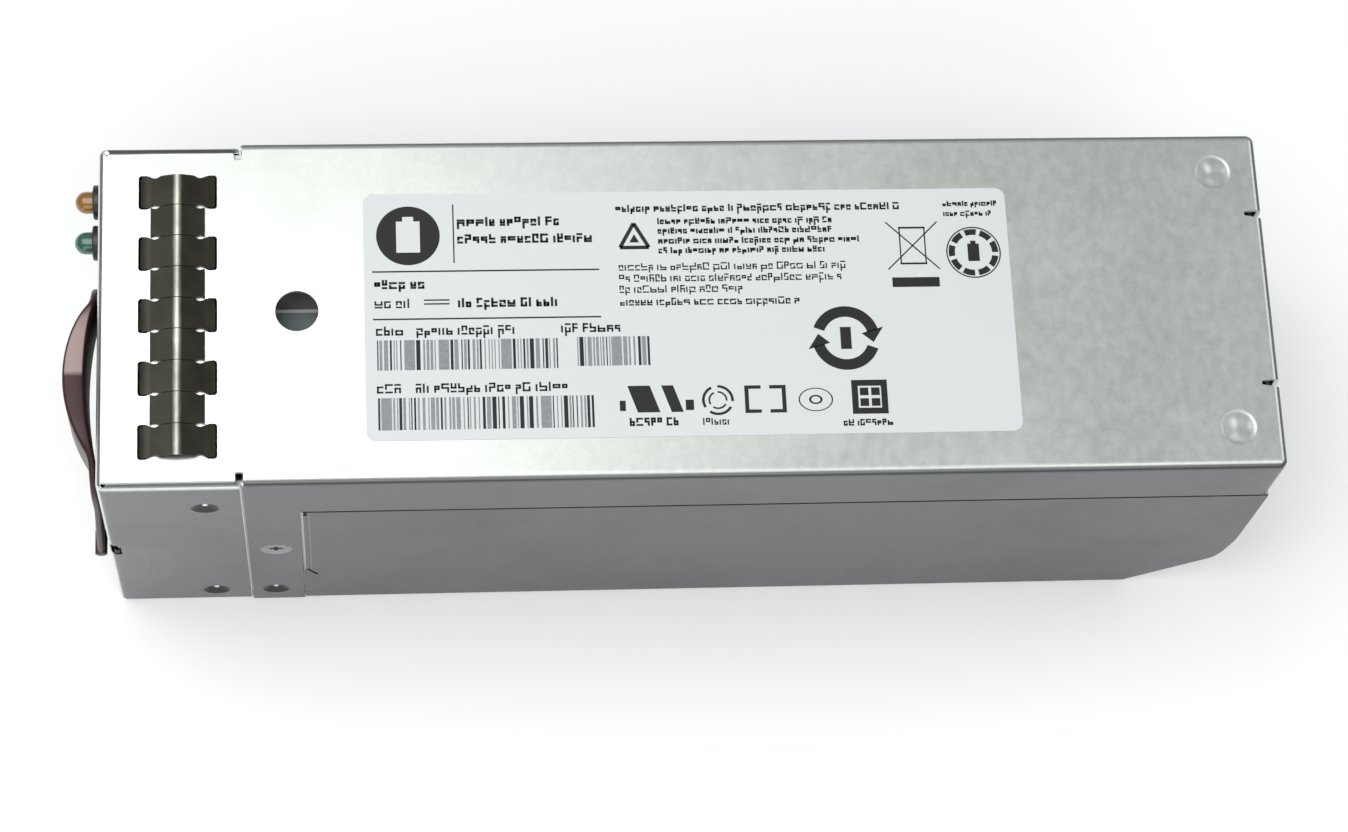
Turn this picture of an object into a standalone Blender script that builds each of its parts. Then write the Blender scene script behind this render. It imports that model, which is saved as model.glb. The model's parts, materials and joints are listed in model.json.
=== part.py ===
"""Slide-in rechargeable battery module for a rack enclosure.

A long sheet-metal case holds six round cells in parallel and their electronics. Its front has a
folding pull handle and two status lamps, its top a strip of grounding spring fingers, and its rear a
blind-mate connector. Units are metres. The front faces -Y, the rear +Y, up is +Z, and the origin is
the centre of the underside of the case.
"""

import itertools
import math

import bmesh
import bpy
from mathutils import Matrix, Vector

# Case
CASE_LENGTH = 0.260
CASE_WIDTH = 0.080
CASE_HEIGHT = 0.084
SHEET = 0.0010
BEND = 0.0018
GAP = 0.0003
FRONT = -CASE_LENGTH / 2
REAR = CASE_LENGTH / 2
HALF_WIDTH = CASE_WIDTH / 2
INNER_STEP = SHEET + GAP

# Seams of the shell, as distances behind the front face or heights
PANEL_DEPTH = 0.0309
PANEL_LIP = 0.006
SIDE_SLOT_LOW = (0.0004, 0.0362)
SIDE_SLOT_HIGH = (0.0028, 0.0424)
TAB_START = 0.0313
TAB_END = 0.0432
COVER_FLANGE_BOTTOM = 0.0646
LAP_TOP = 0.080
PANEL_TOP = CASE_HEIGHT - SHEET - 0.0009
TONGUE_LEFT = -0.0370
TONGUE_RIGHT = 0.0391
SEAM_RELIEF_LEFT = -0.0358
SEAM_RELIEF_RIGHT = 0.0372
SEAM_RELIEF_LENGTH = 0.0014
REAR_SLOPE_START = 0.0205
REAR_SLOPE_HEIGHT = 0.0163
REAR_SLOPE_SETBACK = 0.0025
REAR_KNEE_MIDDLE = (0.0007, 0.01935)
REAR_KNEE_HEIGHT = 0.0240

# Side screws, as (distance behind the front face, height, recess radius)
PANEL_SCREWS = ((0.0228, 0.0682, 0.00305), (0.0228, 0.0079, 0.00305))
TAB_SCREWS = ((0.0374, 0.0378, 0.0038), (0.0366, 0.0077, 0.00305))
SCREW_SHANK_RADIUS = 0.0013
SCREW_HEAD_HEIGHT = 0.0006
SCREW_SUNK = 0.0004
SCREW_LENGTH = 0.0045

# Top features
HOLE_RADIUS = 0.0047
HOLE_X = 0.0003
HOLE_DISTANCE = 0.0434
STUD_RADIUS = 0.0042
STUD_DEPTH = 0.0003
STUD_INSET = 0.0105
STUD_OFFSET = 0.0306
REAR_NOTCH_OFFSET = 0.0203
REAR_NOTCH_WIDTH = 0.0016
REAR_NOTCH_DEPTH = 0.0035
REAR_NOTCH_BOTTOM = 0.0770
CORNER_RELIEF = 0.0016
LABEL_LENGTH = 0.1434
LABEL_WIDTH = 0.0578
LABEL_CENTRE = (0.0018, -0.0002)
LABEL_CORNER = 0.0022
LABEL_THICKNESS = 0.0002

# Grounding fingers
FINGER_COUNT = 9
FINGER_PITCH = 0.00727
FINGER_CREST_DISTANCE = 0.0176
FINGER_CENTRE_X = 0.0010
FINGER_WIDE_REACH = 0.0081
FINGER_NARROW_REACH = 0.0059
FINGER_RISE = 0.0019
FINGER_THICKNESS = 0.0004
FINGER_CROWN_HALF = 0.0012
FINGER_HOOK = 0.0020
WINDOW_LENGTH = 0.0030
WINDOW_WIDTH = 0.0078

# Status lamps
LAMP_HEIGHT = 0.0720
LAMP_RADIUS = 0.0025
LAMP_PROUD = 0.0057
LAMP_DEPTH = 0.0056
LAMPS = (("amber", -0.0310), ("green", -0.0212))
COLLAR_RADIUS = 0.0039
COLLAR_PROUD = 0.0017
COLLAR_DEPTH = 0.0035
LAMP_BOARD_LEFT = -0.0370
LAMP_BOARD_RIGHT = -0.0150
LAMP_BOARD_BELOW = 0.0080
LAMP_BOARD_ABOVE = 0.0060

# Pull handle
HANDLE_CENTRE_X = 0.0125
HANDLE_HALF_WIDTH = 0.0245
HANDLE_ARM_WIDTH = 0.0060
HANDLE_TOP = 0.0790
HANDLE_BAND_HEIGHT = 0.0160
HANDLE_CORNER = 0.0140
HANDLE_PROUD = 0.0076
HANDLE_ARM_PROUD = 0.0019
HANDLE_GRIP_THICKNESS = 0.0032
HANDLE_BOW_HALF_CHORD = 0.0205
PIVOT_HEIGHT = 0.0270
HANDLE_INNER_CORNER = 0.0030
HANDLE_SLANT_HEIGHT = 0.0300
PIVOT_PROUD = 0.0026
PIVOT_EYE_RADIUS = 0.0014
PIVOT_PIN_RADIUS = 0.0007
LUG_WIDTH = 0.0045
LUG_FOOT = 0.0045

# Cells: 26650 size
CELL_RADIUS = 0.0131
CELL_LENGTH = 0.0654
CELL_PITCH = 0.0272
CELL_EDGE = 0.0006
CELL_CRIMP = 0.0035
CELL_GROOVE = 0.0007
CELL_CAP_RADIUS = 0.0050
CELL_CAP_HEIGHT = 0.0007
CELL_COLUMNS = 3
CELL_FIRST_Y = -0.0620
CELL_FIRST_Z = 0.0185
HOLDER_INNER_X = 0.0292
HOLDER_OUTER_X = 0.0342
HOLDER_POCKET_FLOOR = 0.0330
HOLDER_MARGIN = 0.0146
BUSBAR_THICKNESS = 0.0006
BUSBAR_PAD_RADIUS = 0.0040
BUSBAR_MARGIN = 0.0080
BUSBAR_TAB_REACH = 0.0195
BUSBAR_TAB_HALF = 0.0050
HOLDER_CORNER = 0.0030
HOLDER_CONTACT_RADIUS = 0.0090
POST_RADIUS = 0.0020
POST_INSET = 0.0060
PAPER_THICKNESS = 0.0004
PAPER_MARGIN = 0.0140
PAPER_REACH = 0.0210
PAD_RECTANGLE = (-0.0340, -0.0760, 0.0340, 0.0060)

# Boards and rear connector
BOARD_THICKNESS = 0.0016
POWER_BOARD = (-0.0350, 0.0160, 0.0350, 0.1120)
POWER_BOARD_Z = 0.0080
MONITOR_BOARD_Z = 0.0700
BOARD_INSET_X = 0.0050
BOARD_INSET_FRONT = 0.0060
BOARD_INSET_REAR = 0.0080
STANDOFF_RADIUS = 0.0025
MONITOR_BOARD_HALF_WIDTH = 0.0340
MONITOR_BOARD_MARGIN = 0.0130
MONITOR_CHIP_CENTRE = (-0.0020, -0.0400)
MONITOR_CHIP_SIZE = (0.0035, 0.0045, 0.0016)
PLUG_EDGES = (0.0060, 0.0120)
PLUG_HALF_WIDTH = 0.0050
LAMP_LEAD_X = -0.0260
HEATSINK = (-0.0300, 0.0360, -0.0020, 0.0860)
HEATSINK_FINS = 7
HEATSINK_FIN = 0.0012
HEATSINK_BASE = 0.0040
HEATSINK_HEIGHT = 0.0260
INDUCTOR_MINOR = 0.0048
INDUCTOR_MAJOR = 0.0083
INDUCTOR_X = 0.0135
INDUCTOR_ROWS = (0.0480, 0.0780)
CAPACITOR_RADIUS = 0.0050
CAPACITOR_HEIGHT = 0.0200
CAPACITOR_EDGE = 0.0005
CAPACITOR_ROW = 0.0940
CAPACITOR_COLUMNS = (-0.0220, -0.0080)
FUSE_CENTRE = (0.0300, 0.0700)
FUSE_CAP_RADIUS = 0.0032
FUSE_BODY_RADIUS = 0.0026
FUSE_HALF_LENGTH = 0.0100
FUSE_BODY_HALF = 0.0060
CONTROLLER_CHIP = (-0.0060, 0.0200, 0.0060, 0.0320)
CONTROLLER_CHIP_HEIGHT = 0.0020
TERMINAL_X = 0.0240
TERMINAL_Y = (0.0240, 0.0320)
TERMINAL_HALF = 0.0040
TERMINAL_HEIGHT = 0.0060
GUIDE_WALL = (-0.0032, -0.0020)
GUIDE_REACH = 0.0110
GUIDE_TOP = 0.0760
GUIDE_ENDS = (-0.1040, -0.0790)
LEAD_RADIUS = 0.0020
THIN_LEAD_RADIUS = 0.0012
CONNECTOR_FRONT = 0.1000
CONNECTOR_LEG = 0.0060
CONNECTOR_SLOT_HALF = 0.0012
CONNECTOR_SLOT_DEPTH = 0.0080
CONNECTOR_SLOT_MARGIN = 0.0040
CONNECTOR_HALF_WIDTH = 0.0240
CONNECTOR_BOTTOM = 0.0260
CONNECTOR_TOP = 0.0440
CONNECTOR_PROUD = 0.0040
CONNECTOR_SLOTS = 6


# Turns that lay a shape made along Z onto each axis
AXIS_TURN = {
    "X": Matrix.Rotation(math.pi / 2, 4, "Y"),
    "Y": Matrix.Rotation(-math.pi / 2, 4, "X"),
    "Z": Matrix.Identity(4),
}


# ---------------------------------------------------------------- modelling helpers

def clear_scene():
    """Remove every object of the start-up scene."""
    for item in list(bpy.data.objects):
        bpy.data.objects.remove(item, do_unlink=True)


def finish(name, colour, roughness, metallic=0.0):
    """A Principled material with one colour."""
    made = bpy.data.materials.new(name)
    made.use_nodes = True
    shader = made.node_tree.nodes["Principled BSDF"]
    shader.inputs["Base Color"].default_value = (*colour, 1.0)
    shader.inputs["Roughness"].default_value = roughness
    shader.inputs["Metallic"].default_value = metallic
    return made


def place(name, shape, material=None, location=(0, 0, 0)):
    """Turn a bmesh into a linked object."""
    bmesh.ops.recalc_face_normals(shape, faces=shape.faces[:])
    mesh = bpy.data.meshes.new(name)
    shape.to_mesh(mesh)
    shape.free()
    if material:
        mesh.materials.append(material)
    piece = bpy.data.objects.new(name, mesh)
    piece.location = location
    bpy.context.scene.collection.objects.link(piece)
    return piece


def block(name, low, high, material=None, location=(0, 0, 0)):
    """A box between two corners."""
    low, high = Vector(low), Vector(high)
    shape = bmesh.new()
    size = high - low
    fit = Matrix.Translation((low + high) / 2) @ Matrix.Diagonal((*size, 1.0))
    bmesh.ops.create_cube(shape, size=1.0, matrix=fit)
    return place(name, shape, material, location)


def prism(name, outline, axis, start, end, material=None, location=(0, 0, 0)):
    """A flat outline pushed along X, Y or Z from start to end."""
    corner = {
        "X": lambda a, b: (start, a, b),
        "Y": lambda a, b: (a, start, b),
        "Z": lambda a, b: (a, b, start),
    }[axis]
    direction = {"X": (1, 0, 0), "Y": (0, 1, 0), "Z": (0, 0, 1)}[axis]
    shape = bmesh.new()
    face = shape.faces.new([shape.verts.new(corner(a, b)) for a, b in outline])
    pushed = bmesh.ops.extrude_face_region(shape, geom=[face])
    moved = [item for item in pushed["geom"] if isinstance(item, bmesh.types.BMVert)]
    bmesh.ops.translate(shape, verts=moved, vec=Vector(direction) * (end - start))
    return place(name, shape, material, location)


def turned(name, profile, axis, material=None, location=(0, 0, 0), segments=24):
    """A profile of (radius, height) points turned about an axis through the object's origin."""
    shape = bmesh.new()
    points = [shape.verts.new((radius, 0, height)) for radius, height in profile]
    edges = [shape.edges.new(pair) for pair in zip(points, points[1:])]
    if profile[0][0] > 0:
        edges.append(shape.edges.new((points[-1], points[0])))
    bmesh.ops.spin(
        shape, geom=points + edges, cent=(0, 0, 0), axis=(0, 0, 1),
        angle=2 * math.pi, steps=segments, use_merge=True,
    )
    bmesh.ops.remove_doubles(shape, verts=shape.verts[:], dist=0.000001)
    bmesh.ops.transform(shape, matrix=AXIS_TURN[axis], verts=shape.verts[:])
    return place(name, shape, material, location)


def rod(name, radius, start, end, axis, material=None, location=(0, 0, 0), segments=24):
    """A plain cylinder along an axis, from start to end."""
    shape = bmesh.new()
    bmesh.ops.create_cone(
        shape, cap_ends=True, segments=segments, radius1=radius, radius2=radius, depth=end - start,
        matrix=AXIS_TURN[axis] @ Matrix.Translation((0, 0, (start + end) / 2)),
    )
    return place(name, shape, material, location)


def change(piece, tool, operation):
    """Cut, join or intersect a piece with a tool, and drop the tool."""
    bpy.context.view_layer.update()
    step = piece.modifiers.new("shape", "BOOLEAN")
    step.operation = operation
    step.object = tool
    reader = bpy.context.evaluated_depsgraph_get()
    shape = bpy.data.meshes.new_from_object(piece.evaluated_get(reader))
    piece.modifiers.remove(step)
    piece.data = shape
    piece.data.name = piece.name
    bpy.data.objects.remove(tool, do_unlink=True)
    return piece


def cut(piece, *tools):
    """Take each tool's shape away from a piece."""
    for tool in tools:
        change(piece, tool, "DIFFERENCE")
    return piece


def join(piece, *tools):
    """Unite each tool's shape with a piece."""
    for tool in tools:
        change(piece, tool, "UNION")
    return piece


def soften(piece, radius, picks, segments=4):
    """Round the edges that a test on their two ends picks."""
    shape = bmesh.new()
    shape.from_mesh(piece.data)
    edges = [edge for edge in shape.edges if picks(edge.verts[0].co, edge.verts[1].co)]
    bmesh.ops.bevel(
        shape, geom=edges, offset=radius, offset_type="OFFSET", segments=segments,
        profile=0.5, affect="EDGES", clamp_overlap=True,
    )
    shape.to_mesh(piece.data)
    shape.free()
    return piece


def near(value, target):
    """True where a coordinate is on a plane."""
    return abs(value - target) < 0.00002


def both_on(index, targets):
    """An edge test: both ends lie on one of the planes across axis number index."""
    return lambda a, b: any(near(a[index], t) and near(b[index], t) for t in targets)


def every(*tests):
    """An edge test that holds when all its tests do."""
    return lambda a, b: all(test(a, b) for test in tests)


def arc(centre, radius, start, end, steps):
    """Points on an arc, with angles in degrees."""
    angles = [math.radians(start + (end - start) * i / steps) for i in range(steps + 1)]
    return [(centre[0] + radius * math.cos(a), centre[1] + radius * math.sin(a)) for a in angles]


def rounded_rectangle(low, high, radius, steps=4):
    """Outline of a rectangle with round corners."""
    corners = (
        ((high[0] - radius, high[1] - radius), 0),
        ((low[0] + radius, high[1] - radius), 90),
        ((low[0] + radius, low[1] + radius), 180),
        ((high[0] - radius, low[1] + radius), 270),
    )
    return [point for centre, turn in corners for point in arc(centre, radius, turn, turn + 90, steps)]


def smooth_route(points, samples):
    """Points along a Catmull-Rom curve through the route's own points."""
    route = [Vector(p) for p in points]
    route = [2 * route[0] - route[1], *route, 2 * route[-1] - route[-2]]
    found = []
    for i in range(1, len(route) - 2):
        before, here, there, after = route[i - 1:i + 3]
        for j in range(samples):
            t = j / samples
            found.append(0.5 * (
                2 * here + (there - before) * t
                + (2 * before - 5 * here + 4 * there - after) * t ** 2
                + (3 * here - before - 3 * there + after) * t ** 3
            ))
    found.append(route[-2])
    return found


def wire(name, points, radius, material, samples=4):
    """A round lead along a smooth route, in flat triangles."""
    curve = bpy.data.curves.new(name, "CURVE")
    curve.dimensions = "3D"
    curve.bevel_depth = radius
    curve.bevel_resolution = 2
    curve.use_fill_caps = True
    route = smooth_route(points, samples)
    spline = curve.splines.new("POLY")
    spline.points.add(len(route) - 1)
    for point, place_at in zip(spline.points, route):
        point.co = (*place_at, 1.0)
    swept = bpy.data.objects.new("swept", curve)
    shape = bmesh.new()
    shape.from_mesh(swept.to_mesh())
    bmesh.ops.remove_doubles(shape, verts=shape.verts[:], dist=0.000001)
    bmesh.ops.triangulate(shape, faces=shape.faces[:])
    bpy.data.objects.remove(swept, do_unlink=True)
    return place(name, shape, material)


def behind_front(distance):
    """Y of a point that far behind the front face."""
    return FRONT + distance


# ---------------------------------------------------------------- shell

def rear_outline(inset, top):
    """Side outline of the tray's rear end, with its sloped lower corner; inset is the wall."""
    slope_angle = math.atan2(REAR_SLOPE_HEIGHT, REAR_SLOPE_START - REAR_SLOPE_SETBACK)
    floor_shift = inset * math.tan(slope_angle / 2)
    knee_angle = math.pi / 2 - slope_angle
    wall_shift = inset * math.tan(knee_angle / 2)
    start = (REAR - REAR_SLOPE_START - floor_shift, inset)
    knee_low = (
        REAR - REAR_SLOPE_SETBACK - inset * math.sin(slope_angle),
        REAR_SLOPE_HEIGHT + inset * math.cos(slope_angle),
    )
    knee_high = (REAR - inset, REAR_KNEE_HEIGHT + wall_shift / 2)
    middle = (
        REAR - REAR_KNEE_MIDDLE[0] - inset * math.cos(knee_angle / 2),
        REAR_KNEE_MIDDLE[1] + inset * math.sin(knee_angle / 2),
    )
    return [start, knee_low, middle, knee_high, (REAR - inset, top)]


def screw_holes(stations, radius=None):
    """Cutters straight across the case at each side-screw station, of its recess's radius or another."""
    return [
        rod("cutter", radius or recess, -HALF_WIDTH - SHEET, HALF_WIDTH + SHEET, "X",
            location=(0, behind_front(distance), height), segments=20)
        for distance, height, recess in stations
    ]


def make_base_tray(steel):
    """The lower shell: floor, side walls with a lap under the cover, and the rear wall."""
    inner = HALF_WIDTH - INNER_STEP
    shelf = COVER_FLANGE_BOTTOM - GAP
    front_floor = INNER_STEP
    step_panel = behind_front(PANEL_DEPTH + GAP)
    step_tab = behind_front(TAB_END + GAP)
    rear_lap = REAR - INNER_STEP
    body = prism(
        "base_tray", [(step_tab, 0), *rear_outline(0, shelf), (step_tab, shelf)],
        "X", -HALF_WIDTH, HALF_WIDTH, steel,
    )
    soften(body, BEND, every(both_on(0, (-HALF_WIDTH, HALF_WIDTH)), both_on(2, (0,))))
    inset = [
        (FRONT + 2 * SHEET, front_floor), (step_panel, front_floor), (step_panel, 0),
        (step_tab + SHEET / 2, 0), (step_tab + SHEET / 2, shelf - 2 * SHEET),
        (rear_lap, shelf - 2 * SHEET), (rear_lap, LAP_TOP), (FRONT + 2 * SHEET, LAP_TOP),
    ]
    join(body, prism("inset", inset, "X", -inner, inner))
    above = CASE_HEIGHT + SHEET
    wall = inner - SHEET
    cavity = prism(
        "cavity",
        [(step_tab + SHEET, SHEET), *rear_outline(SHEET, shelf - SHEET), (step_tab + SHEET, shelf - SHEET)],
        "X", -HALF_WIDTH + SHEET, HALF_WIDTH - SHEET,
    )
    hollow = [
        (FRONT, front_floor + SHEET), (step_panel + SHEET, front_floor + SHEET),
        (step_panel + SHEET, SHEET), (step_tab + 2 * SHEET, SHEET),
        (step_tab + 2 * SHEET, shelf - 3 * SHEET), (rear_lap - SHEET, shelf - 3 * SHEET),
        (rear_lap - SHEET, above), (FRONT, above),
    ]
    cut(body, cavity, prism("hollow", hollow, "X", -wall, wall))
    cut(body, *screw_holes(PANEL_SCREWS + TAB_SCREWS, SCREW_SHANK_RADIUS + GAP))
    opening = block(
        "opening",
        (-CONNECTOR_HALF_WIDTH - GAP, REAR - 2 * SHEET, CONNECTOR_BOTTOM - GAP),
        (CONNECTOR_HALF_WIDTH + GAP, REAR + SHEET, CONNECTOR_TOP + GAP),
    )
    return cut(body, opening)


def make_front_panel(steel):
    """The front face with its side, bottom and top flanges."""
    back = behind_front(PANEL_DEPTH)
    body = block("front_panel", (-HALF_WIDTH, FRONT, 0), (HALF_WIDTH, back, PANEL_TOP), steel)
    long_edges = every(both_on(0, (-HALF_WIDTH, HALF_WIDTH)), both_on(2, (0, PANEL_TOP)))
    upright = every(both_on(0, (-HALF_WIDTH, HALF_WIDTH)), both_on(1, (FRONT,)))
    across = every(both_on(1, (FRONT,)), both_on(2, (0, PANEL_TOP)))
    soften(body, BEND, lambda a, b: long_edges(a, b) or upright(a, b) or across(a, b))
    inside = block(
        "inside", (-HALF_WIDTH + SHEET, FRONT + SHEET, SHEET),
        (HALF_WIDTH - SHEET, back + SHEET, PANEL_TOP - SHEET),
    )
    soften(inside, BEND - SHEET, both_on(1, (FRONT + SHEET,)), 2)
    top_opening = block(
        "top_opening", (-HALF_WIDTH + PANEL_LIP, FRONT + PANEL_LIP, PANEL_TOP - 2 * SHEET),
        (HALF_WIDTH - PANEL_LIP, back + SHEET, PANEL_TOP + SHEET),
    )
    cut(body, inside, top_opening)
    for side in (-1, 1):
        ends = sorted((side * (HALF_WIDTH - 2 * SHEET), side * (HALF_WIDTH + SHEET)))
        slot = block(
            "slot", (ends[0], behind_front(SIDE_SLOT_LOW[0]), SIDE_SLOT_LOW[1]),
            (ends[1], behind_front(SIDE_SLOT_HIGH[0]), SIDE_SLOT_HIGH[1]),
        )
        cut(body, slot)
    cut(body, *screw_holes(PANEL_SCREWS))
    for _, lamp_x in LAMPS:
        hole = rod("hole", COLLAR_RADIUS - SHEET + GAP, -2 * SHEET, 2 * SHEET, "Y",
                   location=(lamp_x, FRONT, LAMP_HEIGHT))
        cut(body, hole)
    return body


def make_top_cover(steel):
    """The upper shell: top panel, shallow side and rear flanges, and two full-height side tabs."""
    start = behind_front(TAB_START)
    body = block(
        "top_cover", (-HALF_WIDTH, start, COVER_FLANGE_BOTTOM), (HALF_WIDTH, REAR, CASE_HEIGHT), steel
    )
    side_tops = every(both_on(0, (-HALF_WIDTH, HALF_WIDTH)), both_on(2, (CASE_HEIGHT,)))
    rear_top = every(both_on(1, (REAR,)), both_on(2, (CASE_HEIGHT,)))
    rear_sides = every(both_on(0, (-HALF_WIDTH, HALF_WIDTH)), both_on(1, (REAR,)))
    soften(body, BEND, lambda a, b: side_tops(a, b) or rear_top(a, b) or rear_sides(a, b))
    inside = block(
        "inside", (-HALF_WIDTH + SHEET, start - SHEET, COVER_FLANGE_BOTTOM - SHEET),
        (HALF_WIDTH - SHEET, REAR - SHEET, CASE_HEIGHT - SHEET),
    )
    cut(body, inside)
    tongue = block(
        "tongue", (TONGUE_LEFT, FRONT, CASE_HEIGHT - SHEET), (TONGUE_RIGHT, start + SHEET, CASE_HEIGHT)
    )
    join(body, tongue)
    for side, relief_edge in ((-1, SEAM_RELIEF_LEFT), (1, SEAM_RELIEF_RIGHT)):
        inner, outer = sorted((side * (HALF_WIDTH - SHEET), side * HALF_WIDTH))
        tab = block(
            "tab", (inner, start, GAP), (outer, behind_front(TAB_END), COVER_FLANGE_BOTTOM + SHEET)
        )
        join(body, tab)
        relief_x = sorted((relief_edge, side * (HALF_WIDTH + SHEET)))
        relief = block(
            "relief", (relief_x[0], start - SEAM_RELIEF_LENGTH, CASE_HEIGHT - 2 * SHEET),
            (relief_x[1], start + GAP, CASE_HEIGHT + SHEET),
        )
        corner_x = sorted((side * (HALF_WIDTH - BEND), side * (HALF_WIDTH + SHEET)))
        corner = block(
            "corner", (corner_x[0], REAR - CORNER_RELIEF, CASE_HEIGHT - 2 * CORNER_RELIEF),
            (corner_x[1], REAR + SHEET, CASE_HEIGHT + SHEET),
        )
        rear_notch = block(
            "rear_notch",
            (side * REAR_NOTCH_OFFSET - REAR_NOTCH_WIDTH / 2, REAR - REAR_NOTCH_DEPTH, REAR_NOTCH_BOTTOM),
            (side * REAR_NOTCH_OFFSET + REAR_NOTCH_WIDTH / 2, REAR + SHEET, CASE_HEIGHT + SHEET),
        )
        stud = rod("stud", STUD_RADIUS, -STUD_DEPTH, SHEET, "Z",
                   location=(side * STUD_OFFSET, REAR - STUD_INSET, CASE_HEIGHT))
        cut(body, relief, corner, rear_notch, stud)
    cut(body, *screw_holes(TAB_SCREWS))
    viewing_hole = rod("viewing_hole", HOLE_RADIUS, -2 * SHEET, SHEET, "Z",
                       location=(HOLE_X, behind_front(HOLE_DISTANCE), CASE_HEIGHT), segments=28)
    cut(body, viewing_hole)
    window_reach = FINGER_WIDE_REACH - WINDOW_LENGTH / 2 + GAP
    for index in range(0, FINGER_COUNT, 2):
        for end in (-1, 1):
            middle = behind_front(FINGER_CREST_DISTANCE + end * window_reach)
            window = block(
                "window",
                (finger_x(index) - WINDOW_WIDTH / 2, middle - WINDOW_LENGTH / 2, CASE_HEIGHT - 2 * SHEET),
                (finger_x(index) + WINDOW_WIDTH / 2, middle + WINDOW_LENGTH / 2, CASE_HEIGHT + SHEET),
            )
            cut(body, window)
    return body


# ---------------------------------------------------------------- trim on the shell

def finger_x(index):
    """X of the middle of one spring finger."""
    return FINGER_CENTRE_X + (index - (FINGER_COUNT - 1) / 2) * FINGER_PITCH


def make_finger_strip(spring):
    """A strip of roof-shaped spring fingers, wide ones hooked into windows, narrow ones between."""
    rest = CASE_HEIGHT + GAP
    reach, thick = FINGER_WIDE_REACH, FINGER_THICKNESS
    crown = FINGER_CROWN_HALF
    upper = [(-reach, rest + thick), (-crown, rest + FINGER_RISE - GAP), (0, rest + FINGER_RISE),
             (crown, rest + FINGER_RISE - GAP), (reach, rest + thick)]
    hook_right = [(reach, rest - FINGER_HOOK), (reach - thick, rest - FINGER_HOOK), (reach - thick, rest)]
    lower = [(a, b - thick) for a, b in reversed(upper[1:-1])]
    hook_left = [(-a, b) for a, b in reversed(hook_right)]
    crest = behind_front(FINGER_CREST_DISTANCE)
    outline = [(crest + a, b) for a, b in upper + hook_right + lower + hook_left]
    half = FINGER_COUNT * FINGER_PITCH / 2
    strip = prism(
        "emi_finger_strip", outline, "X", FINGER_CENTRE_X - half, FINGER_CENTRE_X + half, spring
    )
    for index in range(1, FINGER_COUNT, 2):
        for end in (-1, 1):
            sides = sorted((crest + end * FINGER_NARROW_REACH, crest + end * 2 * reach))
            trim = block(
                "trim", (finger_x(index) - FINGER_PITCH / 2, sides[0], rest - 2 * FINGER_HOOK),
                (finger_x(index) + FINGER_PITCH / 2, sides[1], rest + 2 * FINGER_RISE),
            )
            cut(strip, trim)
    return strip


def make_label(film):
    """The rating label on the top panel."""
    x, y = LABEL_CENTRE
    outline = rounded_rectangle(
        (x - LABEL_WIDTH / 2, y - LABEL_LENGTH / 2), (x + LABEL_WIDTH / 2, y + LABEL_LENGTH / 2),
        LABEL_CORNER,
    )
    low = CASE_HEIGHT + GAP
    return prism("rating_label", outline, "Z", low, low + LABEL_THICKNESS, film)


def make_lamps(lens_finishes, black):
    """Two round indicator lamps, each in a collar through the front face."""
    for colour, lamp_x in LAMPS:
        spot = (lamp_x, FRONT, LAMP_HEIGHT)
        dome = [(0, LAMP_DEPTH), (LAMP_RADIUS, LAMP_DEPTH), (LAMP_RADIUS, -LAMP_PROUD + LAMP_RADIUS)]
        dome += [(r, -LAMP_PROUD + LAMP_RADIUS - h)
                 for r, h in arc((0, 0), LAMP_RADIUS, 18, 72, 3)]
        dome.append((0, -LAMP_PROUD))
        turned(f"led_{colour}", dome, "Y", lens_finishes[colour], spot)
        bore = LAMP_RADIUS + GAP
        neck = COLLAR_RADIUS - SHEET
        ring = [(bore, COLLAR_DEPTH), (neck, COLLAR_DEPTH), (neck, -GAP), (COLLAR_RADIUS, -GAP),
                (COLLAR_RADIUS, -COLLAR_PROUD + GAP), (COLLAR_RADIUS - GAP, -COLLAR_PROUD),
                (bore, -COLLAR_PROUD)]
        turned(f"led_collar_{colour}", ring, "Y", black, spot)


def side_screw(name, distance, height, recess, side, zinc):
    """A flush side screw: a flat head in its recess and a shank through the wall behind."""
    head = recess - GAP
    face = SCREW_SUNK
    profile = [(0, -face), (head - GAP, -face), (head, -face - GAP),
               (head, -face - SCREW_HEAD_HEIGHT), (SCREW_SHANK_RADIUS, -face - SCREW_HEAD_HEIGHT),
               (SCREW_SHANK_RADIUS, -SCREW_LENGTH), (0, -SCREW_LENGTH)]
    profile = [(radius, side * depth) for radius, depth in profile]
    spot = (side * HALF_WIDTH, behind_front(distance), height)
    return turned(name, profile, "X", zinc, spot, segments=14)


def make_side_screws(zinc):
    """Four screws on each side: two hold the front panel, two the cover's tab."""
    for side, side_name in ((-1, "left"), (1, "right")):
        for place_name, (distance, height, recess) in zip(
            ("panel_upper", "panel_lower", "tab_upper", "tab_lower"), PANEL_SCREWS + TAB_SCREWS
        ):
            side_screw(f"screw_{place_name}_{side_name}", distance, height, recess, side, zinc)


# ---------------------------------------------------------------- pull handle

def bow(thickness_at_grip, end_proud, grip_proud, steps=20):
    """Plan points of one face of the bowed handle, left to right, as (x, proud)."""
    half, sag = HANDLE_BOW_HALF_CHORD, grip_proud - thickness_at_grip
    radius = (half ** 2 + sag ** 2) / (2 * sag)
    points = [(-HANDLE_HALF_WIDTH - SHEET, end_proud)]
    for i in range(steps + 1):
        x = half * (2 * i / steps - 1)
        proud = math.sqrt(radius ** 2 - x ** 2) - (radius - sag)
        points.append((x, max(end_proud, proud)))
    points.append((HANDLE_HALF_WIDTH + SHEET, end_proud))
    return points


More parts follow.
